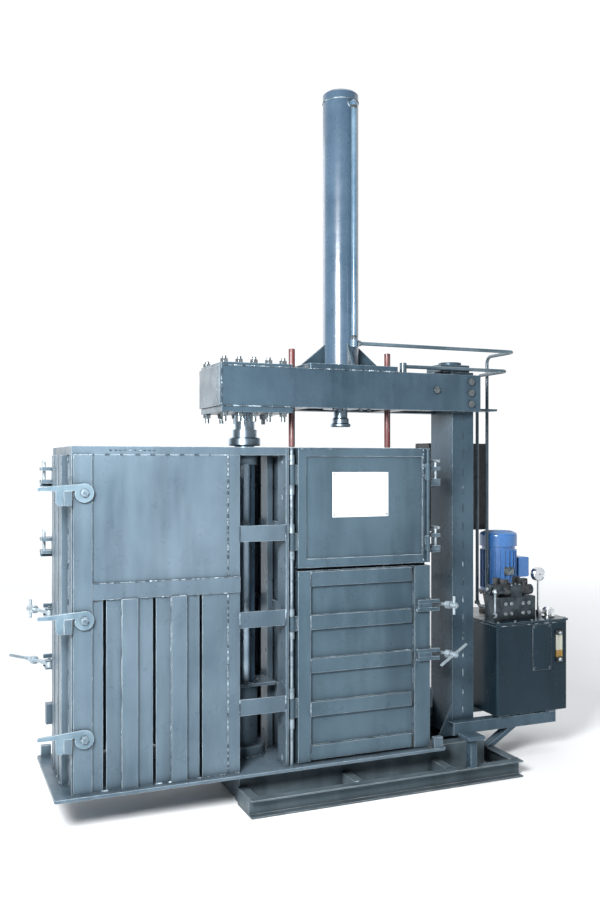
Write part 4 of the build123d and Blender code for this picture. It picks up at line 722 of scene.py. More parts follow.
def revolve(mesh: Mesh, outline: Sequence[Point], at: Vector, along: Vector, steps: int = 32) -> None:
    """Spin an outline into a solid of revolution.

    An outline that keeps clear of the axis is closed into a ring; any other has its ends capped.

    Args:
        mesh: where it goes.
        outline: radius and height of each corner in millimetres.
        at: the foot of its axis.
        along: the direction of its axis.
        steps: facets round it.
    """
    place = frame_at(at, along)
    rings = [add_ring(mesh, place, circle(steps, radius), height) for radius, height in outline]
    bridge(mesh, rings, closed=min(radius for radius, _ in outline) > AXIS_REACH)


def sweep(mesh: Mesh, path: Sequence[Vector], radius: float) -> None:
    """Draw a six-sided bar along a path.

    Args:
        mesh: where it goes.
        path: the points it passes.
        radius: its radius in millimetres.
    """
    rings = []
    for k, spot in enumerate(path):
        ahead = path[min(k + 1, len(path) - 1)] - path[max(k - 1, 0)]
        rings.append(add_ring(mesh, frame_at(spot, ahead.normalized()), circle(6, radius)))
    bridge(mesh, rings)


def bead(mesh: Mesh, start: Vector, end: Vector, radius: float) -> None:
    """Lay a hand weld: a lumpy half-buried cord with one ripple for each dab.

    Args:
        mesh: where it goes.
        start: one end of the seam.
        end: the other end.
        radius: half the bead's width in millimetres.
    """
    line = end - start
    length = line.length * 1000.0
    steps = 2 * max(2, round(length / (radius * DAB)))
    place = frame_at(start, line.normalized())
    # The place of a seam alone says how its dabs vary, so every build lays the same ones
    seed = (start.x * 91.7 + start.y * 57.3 + start.z * 33.1) * 10.0
    rings = []
    for k in range(steps + 1):
        swell = 0.80 if k % 2 == 0 else 1.06
        swell *= 1.0 + 0.13 * math.sin(seed + 1.7 * k) + 0.07 * math.sin(2.1 * seed + 0.61 * k)
        if k in (0, steps):
            swell = 0.45
        drift = 0.14 * radius * math.sin(0.9 * seed + 0.37 * k)
        points = [(x + drift, y) for x, y in circle(7, radius * swell)]
        rings.append(add_ring(mesh, place, points, length * k / steps))
    bridge(mesh, rings)


def stitches(mesh: Mesh, start: Vector, end: Vector, run: float, gap: float, radius: float) -> None:
    """Lay a stitch weld: short beads with gaps between them.

    Args:
        mesh: where it goes.
        start: one end of the seam.
        end: the other end.
        run: length of each bead in millimetres.
        gap: length of each gap in millimetres.
        radius: half the bead's width in millimetres.
    """
    total = (end - start).length * 1000.0
    way = (end - start).normalized()
    count = max(1, round((total + gap) / (run + gap)))
    pitch = (total + gap) / count
    for k in range(count):
        first = start + way * (k * pitch / 1000.0)
        last = start + way * ((k * pitch + pitch - gap) / 1000.0)
        bead(mesh, first, last, radius)


def ring_bead(mesh: Mesh, at: Vector, along: Vector, around: float, radius: float) -> None:
    """Lay a weld round a tube.

    Args:
        mesh: where it goes.
        at: centre of the tube.
        along: the tube's direction.
        around: radius of the seam in millimetres.
        radius: half the bead's width in millimetres.
    """
    place = frame_at(at, along)
    steps = 2 * max(16, round(2 * math.pi * around / (radius * DAB)))
    rings = []
    for k, (across, ahead) in enumerate(circle(steps, 1.0)):
        swell = (0.80 if k % 2 == 0 else 1.05) * (1.0 + 0.1 * math.sin(2.3 * k + around))
        section = circle(6, radius * swell)
        spots = [mm(across * (around + x), ahead * (around + x), z) for x, z in section]
        rings.append([mesh.verts.new(place @ spot) for spot in spots])
    bridge(mesh, rings, closed=True)


def block(mesh: Mesh, low: Point, high: Point, round_off: float) -> None:
    """Add a plate or block with rounded corners.

    Args:
        mesh: where it goes.
        low: its lowest corner in millimetres.
        high: its highest corner.
        round_off: corner radius.
    """
    foot, top = mm(*low), mm(*high)
    size = top - foot
    place = Matrix.Translation((foot + top) / 2) @ Matrix.Diagonal((*size, 1.0))
    made = bmesh.ops.create_cube(mesh, size=1.0, matrix=place)["verts"]
    edges = {edge for vert in made for edge in vert.link_edges}
    offset = min(round_off / 1000.0, min(size) * 0.45)
    bmesh.ops.bevel(
        mesh, geom=list(edges), offset=offset, segments=2, profile=0.5, affect="EDGES"
    )


def turned(mesh: Mesh, keep: bool = True) -> None:
    """Give mesh data its half-turned twin about the pivot column.

    Args:
        mesh: the data to turn.
        keep: whether the first one stays.
    """
    verts = mesh.verts[:]
    if keep:
        copy = bmesh.ops.duplicate(mesh, geom=verts + mesh.edges[:] + mesh.faces[:])
        verts = [item for item in copy["geom"] if isinstance(item, Vert)]
    bmesh.ops.transform(mesh, matrix=Matrix.Rotation(math.pi, 4, "Z"), verts=verts)


def nut_outline(radius: float, height: float) -> list[Pair]:
    """Radius and height of each corner of a chamfered nut or bolt head."""
    return [(radius * 0.9, 0), (radius, height * 0.12), (radius, height * 0.82), (radius * 0.86, height)]


def screw(mesh: Mesh, at: Vector, along: Vector, radius: float, height: float) -> None:
    """Set a hexagon-headed screw on its washer.

    Args:
        mesh: where it goes.
        at: the foot of the washer.
        along: the direction of the head.
        radius: corner radius of the head in millimetres.
        height: height of the head in millimetres.
    """
    washer = [(radius * 1.18, 0), (radius * 1.18, 1.2), (radius * 1.1, 1.5), (0.4, 1.5)]
    revolve(mesh, washer, at, along, 20)
    head = [*nut_outline(radius, height), (0.4, height)]
    revolve(mesh, head, at + along * 0.0014, along, 6)


def thread(mesh: Mesh, at: Vector, along: Vector, radius: float, length: float) -> None:
    """Cut a thread on a stud end, each turn a ridge.

    Args:
        mesh: where it goes.
        at: where the thread starts.
        along: its direction.
        radius: outer radius in millimetres.
        length: its length in millimetres.
    """
    # The pitch of an M18 stud in millimetres
    pitch = 2.5
    turns = max(1, int(length / pitch))
    outline = []
    for k in range(turns):
        outline += [(radius - 0.6, pitch * k), (radius + 0.3, pitch * k + 1.2)]
    outline += [(radius - 0.8, pitch * turns), (0.4, pitch * turns + 0.6)]
    revolve(mesh, outline, at, along, 20)


@dataclass(frozen=True)
class Seam:
    """One hand-laid weld in millimetres; with a gap it is a row of stitches."""

    start: Point
    end: Point
    radius: float = 3.0
    run: float = 22.0
    gap: float = 0.0

    @classmethod
    def upright(cls, x: float, y: float, low: float, high: float, *bead_sizes: float) -> Seam:
        """A seam from a low point to a high one."""
        return cls((x, y, low), (x, y, high), *bead_sizes)

    @classmethod
    def level(cls, y: float, z: float, left: float, right: float, *bead_sizes: float) -> Seam:
        """A seam along X."""
        return cls((left, y, z), (right, y, z), *bead_sizes)

    @classmethod
    def inward(cls, x: float, z: float, near: float, far: float, *bead_sizes: float) -> Seam:
        """A seam along Y."""
        return cls((x, near, z), (x, far, z), *bead_sizes)

    def lay(self, mesh: Mesh) -> None:
        """Lay the seam in mesh data.

        Args:
            mesh: where it goes.
        """
        first, last = mm(*self.start), mm(*self.end)
        if self.gap:
            stitches(mesh, first, last, self.run, self.gap, self.radius)
        else:
            bead(mesh, first, last, self.radius)


def weld_up(
    name: str, seams: Iterable[Seam], body: str, boxes: Boxes = Boxes.RIGHT
) -> None:
    """Lay seams and join them to a body as one piece.

    Args:
        name: the piece's name.
        seams: the welds.
        body: the CAD body it moves with.
        boxes: the box they are laid on; the frame's welds keep the default.
    """
    mesh = bmesh.new()
    for seam in seams:
        seam.lay(mesh)
    if boxes is not Boxes.RIGHT:
        turned(mesh, keep=boxes is Boxes.BOTH)
    add_piece(name, mesh, WELD, body)


@dataclass
class BoxSeams:
    """The welds of both boxes: panels, rails, posts, hinge plates, straps and brackets."""

    inner_x: float = 101.0
    outer_x: float = 735.0
    plate_x: float = 149.0
    stile_x: float = 662.0
    face: float = 240.0
    floor_z: float = 147.0
    rim_z: float = 1366.0
    rail_z: Pair = (840.0, 900.0)
    rim_chips: Pair = (430.0, 600.0)
    rim_middle: float = 1382.0
    ribs_x: Row = (342.0, 526.5)
    rib_half: float = 29.5
    rib_face: float = 252.0
    end_ribs_y: Row = (-105.0, -8.0, 90.0)
    end_rib_half: float = 32.5
    end_rib_x: float = 755.0
    hinge_plate_x: float = 89.0
    # Where the post's seam stands, and where the foot's seam ends
    hinge_post_y: Pair = (-200.0, -154.0)
    strap_z: Row = (363.0, 700.0, 1032.0)
    strap_height: float = 62.0
    knuckle_seam: Pair = (102.0, -229.5)
    knuckles: tuple[Pair, ...] = HINGES_Z
    keeper_y: Pair = (214.0, 246.0)
    keeper_z: Row = (348.0, 772.0, 1228.0)
    ear_y: Pair = (-177.0, -153.0)
    ear_z: Row = (742.0, 537.0)
    ear_half: float = 19.3
    guide_y: Pair = (-195.0, -166.0)
    guide_z: Row = (975.0, 1255.0)
    guide_height: float = 64.0

    def slatted_side(self) -> Iterator[Seam]:
        """Seams of the slatted panel, its rails, ribs and stile.

        Yields:
            Each seam.
        """
        y = self.face + 0.6
        low, high = self.rail_z
        yield Seam.upright(self.plate_x, y, high + 4, self.rim_z - 4, 3.6, 15, 7)
        yield Seam.upright(self.plate_x, y, self.floor_z + 4, low - 3, 3.2, 15, 9)
        yield Seam.level(y + 5, high, self.inner_x + 3, self.stile_x - 2, 2.8, 24, 14)
        yield Seam.level(y + 5, low, self.plate_x + 4, self.stile_x - 2, 2.6, 18, 46)
        yield Seam.upright(self.stile_x, y + 1, self.floor_z + 4, self.rim_z - 4, 2.6, 20, 62)
        yield Seam.level(y, self.rim_z, self.plate_x + 4, self.outer_x - 7, 2.8, 18, 38)
        yield Seam.level(y, self.rim_middle, *self.rim_chips, 2.2, 9, 8)
        yield Seam.level(y, self.floor_z + 1, self.inner_x + 4, self.outer_x - 5, 3.4, 26, 24)
        for x in self.ribs_x:
            edges = (x - self.rib_half, x + self.rib_half)
            for z in (self.floor_z + 1.5, low + 1.0):
                yield Seam.level(self.rib_face - 4, z, *edges)
            for edge in edges:
                yield Seam.upright(edge, y, self.floor_z + 30, low - 30, 2.0, 20, 120)

    def end_side(self) -> Iterator[Seam]:
        """Seams of the end wall's ribs, the keepers, ears and pin guides.

        Yields:
            Each seam.
        """
        wall, side = self.outer_x - 5, self.outer_x + 0.5
        for y in self.end_ribs_y:
            yield Seam.inward(self.end_rib_x + 1, self.floor_z + 1.5, y - 30, y + 30)
            for edge in (y - self.end_rib_half, y + self.end_rib_half):
                yield Seam.upright(wall, edge, self.floor_z + 13, self.rim_z - 11, 2.4, 22, 110)
        front, back = self.keeper_y
        for z in self.keeper_z:
            yield Seam.upright(side, front, z - 44, z + 6, 2.8)
            yield Seam.inward(side, z - 46, front + 2, back, 2.8)
        for z in self.ear_z:
            for edge in (z - self.ear_half, z + self.ear_half):
                yield Seam.inward(side, edge, *self.ear_y, 2.6)
        for z in self.guide_z:
            for edge in (z - 1, z + self.guide_height + 1):
                yield Seam.inward(side + 0.3, edge, *self.guide_y, 2.6)

    def hinge_side(self) -> Iterator[Seam]:
        """Seams of the hinge plate, its knuckles and the tie straps.

        Yields:
            Each seam.
        """
        plate = self.hinge_plate_x
        post_y, post_back = self.hinge_post_y
        for z0, z1 in self.knuckles:
            ring = (z1 - z0) / 4
            for low in (z0, z1 - ring):
                yield Seam.upright(*self.knuckle_seam, low + 1, low + ring - 1, 2.8)
        for z in self.strap_z:
            top = z + self.strap_height
            for x in (plate, -self.inner_x):
                yield Seam.upright(x, -self.face, z + 1, top - 1, 3.2)
        yield Seam.inward(plate, self.floor_z + 2, 1 - self.face, post_back, 3.2)
        yield Seam.upright(plate - 0.5, post_y, self.floor_z + 13, self.rim_z - 6, 2.2, 24, 120)

    def build(self) -> None:
        """Lay every seam on both boxes."""
        weld_up("slatted_side_welds", self.slatted_side(), "carriage", Boxes.BOTH)
        weld_up("end_wall_welds", self.end_side(), "carriage", Boxes.BOTH)
        weld_up("hinge_side_welds", self.hinge_side(), "carriage", Boxes.BOTH)


@dataclass
class DoorDressing:
    """The welds of both pairs of doors, and the bare sign plate on the upper front door."""

    left: float = 141.0
    right: float = 737.6
    face: float = -240.0
    skin: float = -226.0
    lower_z: Pair = (152.0, 908.0)
    bar_x: Pair = (196.0, 649.6)
    bar_height: float = 57.0
    bar_first: float = 157.0
    bar_pitch: float = 172.25
    bars: int = 5
    slot_x: float = 664.6
    lug_left: float = 675.0
    lug_z: Row = (742.0, 537.0)
    lug_half: float = 24.5
    sleeves: tuple[Pair, ...] = ((972.0, 1032.0), (1265.0, 1332.0))
    edge_x: float = 721.6
    sleeve_half: float = 7.0
    fold_x: float = 706.0
    fold_runs: tuple[Pair, ...] = ((1278.0, 1392.0), (928.0, 1060.0))
    # Where the top edge's seam ends, and its height
    top_run: Pair = (330.0, 1391.0)
    # Left, right, low and high
    sign: Row = (291.0, 544.0, 1117.0, 1299.0)
    sign_thick: float = 2.0
    rivet_inset: float = 9.0
    tray_y: float = -234.0

    def lower_seams(self) -> Iterator[Seam]:
        """Seams of the barred door.

        Yields:
            Each seam.
        """
        x0, x1 = self.bar_x
        low, high = self.lower_z
        front, inner = self.face - 1, self.skin - 1
        for index in range(self.bars):
            z0 = self.bar_first + index * self.bar_pitch
            z1 = z0 + self.bar_height
            yield Seam.upright(x0, self.face, z0 + 1, z1 - 1, 3.0)
            yield Seam.upright(x1 + 1, inner, z0 + 1, z1 - 1, 3.0)
            for z in (z0 - 0.5, z1 + 0.5):
                yield Seam.level(inner, z, x0 + 6, x1 - 6, 2.2, 22, 70)
        for x in (x0 + 0.5, self.slot_x - 0.5):
            yield Seam.upright(x, inner, low + 6, high - 6, 2.2, 18, 66)
        for z in self.lug_z:
            for edge in (z - self.lug_half, z + self.lug_half):
                yield Seam.level(front, edge, self.lug_left, self.right - 1, 2.8)
            yield Seam.upright(self.lug_left, front, z - 24, z + 24, 3.0)

    def upper_seams(self) -> Iterator[Seam]:
        """Seams of the tray door and its edge bar.

        Yields:
            Each seam.
        """
        right, top = self.top_run
        yield from (Seam.upright(self.fold_x, self.face, *run, 2.8, 9, 6) for run in self.fold_runs)
        yield Seam.level(self.face, top, self.left + 8, right, 2.0, 12, 26)
        for sleeve in self.sleeves:
            for x in (self.edge_x - self.sleeve_half, self.edge_x + self.sleeve_half):
                yield Seam.upright(x, self.face - 2, *sleeve, 3.0)

    def build_sign(self) -> None:
        """Screw the bare white plate on the tray of the upper front door."""
        x0, x1, z0, z1 = self.sign
        front = self.tray_y - self.sign_thick
        mesh = bmesh.new()
        block(mesh, (x0, front, z0), (x1, self.tray_y, z1), 1.0)
        add_piece("sign_plate", mesh, WHITE_SIGN, "upper_door_right")
        mesh = bmesh.new()
        dome = [(4.2, 0), (4.0, 0.9), (2.6, 1.7), (0.3, 2.0)]
        for x in (x0 + self.rivet_inset, x1 - self.rivet_inset):
            for z in (z0 + self.rivet_inset, z1 - self.rivet_inset):
                revolve(mesh, dome, mm(x, front, z), Way.FRONT.line, 16)
        add_piece("sign_rivets", mesh, CHROME, "upper_door_right")

    def build(self) -> None:
        """Weld both pairs of doors and hang the plate."""
        for level, lay_out in (("lower", self.lower_seams), ("upper", self.upper_seams)):
            for side in (Boxes.RIGHT, Boxes.LEFT):
                name = f"{level}_door_welds_{side.value}"
                weld_up(name, lay_out(), f"{level}_door_{side.value}", side)
        self.build_sign()


@dataclass
class Crosshead:
    """Welds and fasteners of the crosshead, the cylinder mount and the press column."""

    left: float = -143.0
    right: float = 1052.0
    clamp_right: float = 158.0
    face: float = 143.0
    low: float = 1562.0
    high: float = 1722.0
    clamp_low: float = 1538.0
    clamp_high: float = 1734.0
    mount: Pair = (230.7, 642.7)
    mount_top: float = 1744.0
    gusset_x: Pair = (628.0, 246.0)
    gusset_y: float = 128.0
    gusset_half: float = 6.5
    ram_x: float = 436.7
    tube: float = 77.0
    cap_joint: float = 2880.5
    stud_x: Row = (-125.0, -62.5, 0.0, 62.5, 125.0)
    stud_y: float = 118.0
    stud: float = 9.0
    nut: float = 15.0
    washer: float = 18.0
    column_x: Pair = (948.0, 1057.0)
    column_y: Pair = (-78.0, 106.0)
    foot_z: float = 126.0
    # How far it reaches out, and its top
    foot_gusset: Pair = (66.0, 258.0)
    # Left, right, half depth and top
    cap_block: Row = (898.0, 1046.0, 60.0, 1741.0)
    ram_screws_x: Row = (356.7, 396.7, 476.7, 516.7)
    ram_screws_y: float = -113.0

    def beam_seams(self) -> Iterator[Seam]:
        """Seams of the beams and of the mount's plate and gussets.

        Yields:
            Each seam.
        """
        for side in (-1, 1):
            y = side * self.face
            yield Seam.level(y, self.low, self.left + 2, self.clamp_right, 3.4)
            yield Seam.level(y, self.high, self.left + 2, self.clamp_right, 3.0, 26, 16)
            yield Seam.level(y, self.high, *self.mount, 3.4, 24, 14)
            yield Seam.upright(self.left, y, self.low + 3, self.high - 3, 3.2, 30, 10)
            yield Seam.upright(self.clamp_right, y + side, self.clamp_low + 2, self.low - 1, 2.6)
        reach = self.tube + 4
        half = self.gusset_half
        for side, far in zip((1, -1), self.gusset_x):
            for y in (-half, half):
                yield Seam.level(y, self.mount_top, self.ram_x + side * reach, far, 3.2)
        for side in (-1, 1):
            for x in (self.ram_x - half, self.ram_x + half):
                yield Seam.inward(x, self.mount_top, side * reach, side * self.gusset_y, 3.2)

    def column_seams(self) -> Iterator[Seam]:
        """Seams of the press column, its foot and its cap block.

        Yields:
            Each seam.
        """
        x0, x1 = self.column_x
        y0, y1 = self.column_y
        foot = self.foot_z
        middle = (x0 + x1) / 2
        wide, tall = self.foot_gusset
        cap_left, cap_right, cap_half, cap_z = self.cap_block
        yield from (Seam.upright(middle, y, foot + 14, self.low - 6, 2.6, 34, 46) for y in (y0, y1))
        yield Seam.level(y0 - 0.5, foot, x0 + 2, x1 - 2, 3.6)
        yield Seam.inward(x0, foot, y0 + 3, y1 - 3, 3.6)
        yield Seam.inward(x0, self.low, 2 - self.face, y0 - 8, 3.0)
        yield Seam.level(y0 - 0.5, self.low, x0 + 2, self.right, 3.0)
        yield Seam.level(-cap_half, cap_z, cap_left + 2, cap_right, 3.2)
        yield Seam.inward(cap_left - 1, cap_z, 2 - cap_half, cap_half - 2, 3.2)
        for y in (y0 + 8.5, y1 - 8.5):
            yield Seam.level(y, foot, x0 - wide, x0 - 3, 2.8)
            yield Seam.upright(x0 - 1, y, foot + 4, tall, 2.8)

    def build_fasteners(self) -> None:
        """Turn washers and threads for the studs, and small screws round the ram."""
        washers, threads, screws = bmesh.new(), bmesh.new(), bmesh.new()
        up, down = Way.UP.line, Way.DOWN.line
        hole, rim = self.stud + 0.5, self.washer
        washer = [(hole, 0), (rim, 0), (rim, 1.6), (rim - 0.8, 2.2), (hole, 2.2)]
        for x in self.stud_x:
            for y in (-self.stud_y, self.stud_y):
                revolve(washers, washer, mm(x, y, self.clamp_high), up, 28)
                revolve(washers, washer, mm(x, y, self.clamp_low), down, 28)
                thread(threads, mm(x, y, self.clamp_high + self.nut), up, self.stud, 10)
                thread(threads, mm(x, y, self.clamp_low - self.nut), down, self.stud, 20)
        for x in self.ram_screws_x:
            screw(screws, mm(x, self.ram_screws_y, self.low), down, 9.0, 7.0)
        add_piece("stud_washers", washers, BOLT_ZINC, "frame")
        add_piece("stud_threads", threads, BOLT_ZINC, "frame")
        add_piece("ram_flange_screws", screws, BOLT_ZINC, "frame")

    def build(self) -> None:
        """Weld the beams and set their fasteners."""
        seams = [*self.beam_seams(), *self.column_seams()]
        weld_up("crosshead_welds", seams, "frame")
        mesh = bmesh.new()
        ring_bead(mesh, mm(self.ram_x, 0, self.mount_top), Way.UP.line, self.tube + 1.5, 4.2)
        ring_bead(mesh, mm(self.ram_x, 0, self.cap_joint), Way.UP.line, self.tube - 0.5, 3.0)
        add_piece("cylinder_welds", mesh, WELD, "frame")
        self.build_fasteners()


@dataclass
class BaseWelds:
    """Welds of the skid, the girders, the stop post, the tank shelf and the hubs."""

    ties_x: Row = (360.0, 780.0)
    tie: float = 38.0
    rail_y: float = 301.0
    girder_y: float = 174.0
    girder_end: Pair = (-86.0, -50.0)
    skid_z: float = 69.0
    end_x: float = 1136.0
    stop_x: Pair = (872.5, 905.0)
    stop_y: Pair = (-336.0, -303.0)
    shelf_y: float = -128.5
    shelf_z: float = 193.0
    shelf_runs: tuple[Pair, ...] = ((1160.0, 1210.0), (1420.0, 1466.0))
    # Height, radius and half the width of the seam round each hub
    hubs: tuple[Row, ...] = ((148.0, 86.0, 3.6), (441.0, 55.0, 3.0))

    def seams(self) -> Iterator[Seam]:
        """Seams of the base.

        Yields:
            Each seam.
        """
        z = self.skid_z
        for side in (-1, 1):
            for x in self.ties_x:
                yield Seam.level(side * self.rail_y, z, x, x + self.tie, 3.4)
                yield Seam.level(side * self.girder_y, z - 2, x + 2, x + self.tie - 2, 3.4)
            rail_end = self.end_x - self.tie
            yield Seam.level(side * self.rail_y, z + 0.3, rail_end, self.end_x, 3.4)
            yield Seam.level(side * self.girder_y, z - 1, *self.girder_end, 3.4)
        left, right = self.stop_x
        front, back = self.stop_y
        yield Seam.level(back, z + 0.5, left + 2.5, right, 3.2)
        yield Seam.inward(left, z + 0.5, front, back - 1, 3.2)
        yield Seam.level(-80, z + 1, self.end_x - 34, self.end_x - 2, 3.0)
        yield from (Seam.level(self.shelf_y, self.shelf_z, *run, 2.8) for run in self.shelf_runs)

    def build(self) -> None:
        """Lay the seams of the base."""
        weld_up("base_welds", self.seams(), "frame")
        mesh = bmesh.new()
        for z, around, radius in self.hubs:
            ring_bead(mesh, mm(0, 0, z), Way.UP.line, around, radius)
        add_piece("hub_welds", mesh, WELD, "carriage")


@dataclass
class PipeFittings:
    """Union nuts and welded joints of the hydraulic pipes."""

    riser: Pair = (452.7, -100.0)
    riser_bore: float = 11.8
    cap_z: float = 1840.0
    port_z: float = 2860.0
    port_y: float = -78.5
    nut: float = 15.5
    nut_height: float = 17.0
    small_nut: float = 13.5
    small_bore: float = 8.2
    small_height: float = 15.0
    drops: tuple[Spot, ...] = ((1262.0, 118.0, 707.0), (1228.0, 150.0, 662.0))
    branch: float = 15.2

    def build(self) -> None:
        """Screw the nuts on and lay the welds."""
        x, y = self.riser
        up = Way.UP.line
        outline = nut_outline(self.nut, self.nut_height)
        large = [(self.riser_bore, 0), *outline, (self.riser_bore, self.nut_height)]
        outline = nut_outline(self.small_nut, self.small_height)
        small = [(self.small_bore, 0), *outline, (self.small_bore, self.small_height)]
        nuts = bmesh.new()
        revolve(nuts, large, mm(x, y, self.cap_z + self.branch), up, 6)
        revolve(nuts, large, mm(x, y, self.port_z - 2 * self.nut_height), up, 6)
        revolve(nuts, small, mm(x + self.branch, y, self.cap_z), Way.RIGHT.line, 6)
        for drop in self.drops:
            revolve(nuts, small, mm(*drop), up, 6)
        add_piece("pipe_union_nuts", nuts, FITTING_ZINC, "frame")
        beads = bmesh.new()
        ring_bead(beads, mm(x, y, self.cap_z - 12), Way.DOWN.line, 12.0, 2.2)
        ring_bead(beads, mm(x, self.port_y, self.port_z), Way.BACK.line, 17.5, 2.4)
        add_piece("pipe_welds", beads, WELD, "frame")


@dataclass
class TankDressing:
    """Lid screws, cover gasket, sight-gauge ends and breather ribs of the oil tank."""

    left: float = 1146.0
    right: float = 1535.0
    front: float = -131.0
    back: float = 300.0
    top: float = 617.0
    inset: float = 8.0
    corner: float = 12.0
    lid: float = 15.0
    # Across and up of its middle, then half its width and height
    cover: Pair = (1390.0, 494.0)
    cover_half: Pair = (51.0, 104.0)
    gasket: float = 1.6
    gauge: Pair = (1484.0, 494.0)
    gauge_front: float = -140.0
    gauge_half: float = 16.5
    gauge_ends: Pair = (50.0, 73.0)
    gauge_screw: float = 61.0
    tick_pitch: float = 11.0
    breather: Spot = (1480.0, -60.0, 637.5)
    breather_cap: float = 25.0
    breather_rib: float = 7.5

    def build_screws(self) -> None:
        """Screw the lid down all round, and the sight gauge at both ends."""
        mesh = bmesh.new()
        x0, x1 = self.left + self.corner, self.right - self.corner
        y0, y1 = self.front + self.inset, self.back - self.inset
        spots = [(x0 + k * (x1 - x0) / 4, y) for k in range(5) for y in (y0, y1)]
        for k in (1, 2, 3):
            y = y0 + k * (y1 - y0) / 4
            spots += [(self.left + self.inset, y), (self.right - self.inset, y)]
        for spot in spots:
            screw(mesh, mm(*spot, self.top), Way.UP.line, 6.0, 4.5)
        x, z = self.gauge
        for end in (z - self.gauge_screw, z + self.gauge_screw):
            screw(mesh, mm(x, self.gauge_front - 4, end), Way.FRONT.line, 8.0, 5.0)
        add_piece("tank_screws", mesh, BOLT_ZINC, "frame")

    def build_rubber(self) -> None:
        """Lay the cover's gasket and the black ends and ticks of the sight gauge."""
        mesh = bmesh.new()
        x, z = self.cover
        wide, tall = (half + self.gasket for half in self.cover_half)
        near = self.front - self.gasket
        block(mesh, (x - wide, near, z - tall), (x + wide, self.front + 1, z + tall), 0.8)
        x, z = self.gauge
        half, near = self.gauge_half, self.gauge_front - 4
        inner, outer = self.gauge_ends
        for low, high in ((z - outer, z - inner), (z + inner, z + outer)):
            block(mesh, (x - half, near, low), (x + half, self.front, high), 3.0)
        rim, depth = x - 14, self.gauge_front
        for k in range(-4, 5):
            reach = 5.0 if k % 4 == 0 else 3.0
            high = z + k * self.tick_pitch
            block(mesh, (rim, depth - 0.4, high - 0.5), (rim + reach, depth + 0.4, high + 0.5), 0.15)
        add_piece("tank_gasket_and_gauge_ends", mesh, BLACK_PLASTIC, "frame")

    def build_breather(self) -> None:
        """Rib the breather's cap so that a hand can turn it."""
        mesh = bmesh.new()
        x, y, z = self.breather
        for dx, dy in circle(28, self.breather_cap):
            heights = (z, z + self.breather_rib, z + 2 * self.breather_rib)
            sweep(mesh, [mm(x + dx, y + dy, height) for height in heights], 1.1)
        add_piece("breather_ribs", mesh, CHROME, "frame")

    def build(self) -> None:
        """Fit everything that sits on the tank, with a seam under its lid."""
        self.build_screws()
        self.build_rubber()
        self.build_breather()
        under, corner = self.top - self.lid, self.corner
        seams = [Seam.level(self.front, under, self.left + corner, self.right - corner, 2.4)]
        for x in (self.left, self.right):
            seams.append(Seam.inward(x, under, self.front + corner, self.back - corner, 2.4))
        weld_up("tank_lid_seam", seams, "frame")


@dataclass
class DialFace:
    """The pressure gauge's card, scale and pointer."""

    centre: Spot = (1469.0, -10.0, 809.0)
    card: float = 26.6
    sweep_degrees: float = 270.0
    ticks: int = 31
    rim: float = 24.0
    # Where each tick starts from the centre, and its width
    long_tick: Pair = (18.5, 1.3)
    short_tick: Pair = (21.0, 0.6)
    # Where the pointer starts and ends, and its width
    pointer: Row = (-6.0, 19.5, 1.5)

    def hand(self, mesh: Mesh, part: float, near: float, far: float, wide: float) -> None:
        """Add one thin bar that points out from the dial's centre.

        Args:
            mesh: where it goes.
            part: how far round the scale it points, from 0 to 1.
            near: where it starts from the centre, in millimetres.
            far: where it ends.
            wide: its width.
        """
        turn = math.radians(-90 - (360 - self.sweep_degrees) / 2 - part * self.sweep_degrees)
        reach = (near + far) / 2
        middle = mm(*self.centre) + mm(reach * math.cos(turn), -0.9, reach * math.sin(turn))
        place = Matrix.Translation(middle) @ Matrix.Rotation(-turn, 4, "Y")
        size = Matrix.Diagonal((*mm(far - near, 0.8, wide), 1.0))
        bmesh.ops.create_cube(mesh, size=1.0, matrix=place @ size)

    def build(self) -> None:
        """Fit the card and print its scale."""
        centre, out = mm(*self.centre), Way.FRONT.line
        card, ink = bmesh.new(), bmesh.new()
        revolve(card, [(self.card, 0), (self.card, 0.6), (0.5, 0.6)], centre, out, 48)
        add_piece("dial_card", card, DIAL_WHITE, "frame")
        for k in range(self.ticks):
            near, wide = self.short_tick if k % 5 else self.long_tick
            self.hand(ink, k / (self.ticks - 1), near, self.rim, wide)
        self.hand(ink, 0.0, *self.pointer)
        revolve(ink, [(3.2, 0), (3.2, 2.2), (2.2, 3.0), (0.3, 3.0)], centre, out, 20)
        add_piece("dial_scale_and_pointer", ink, DIAL_BLACK, "frame")


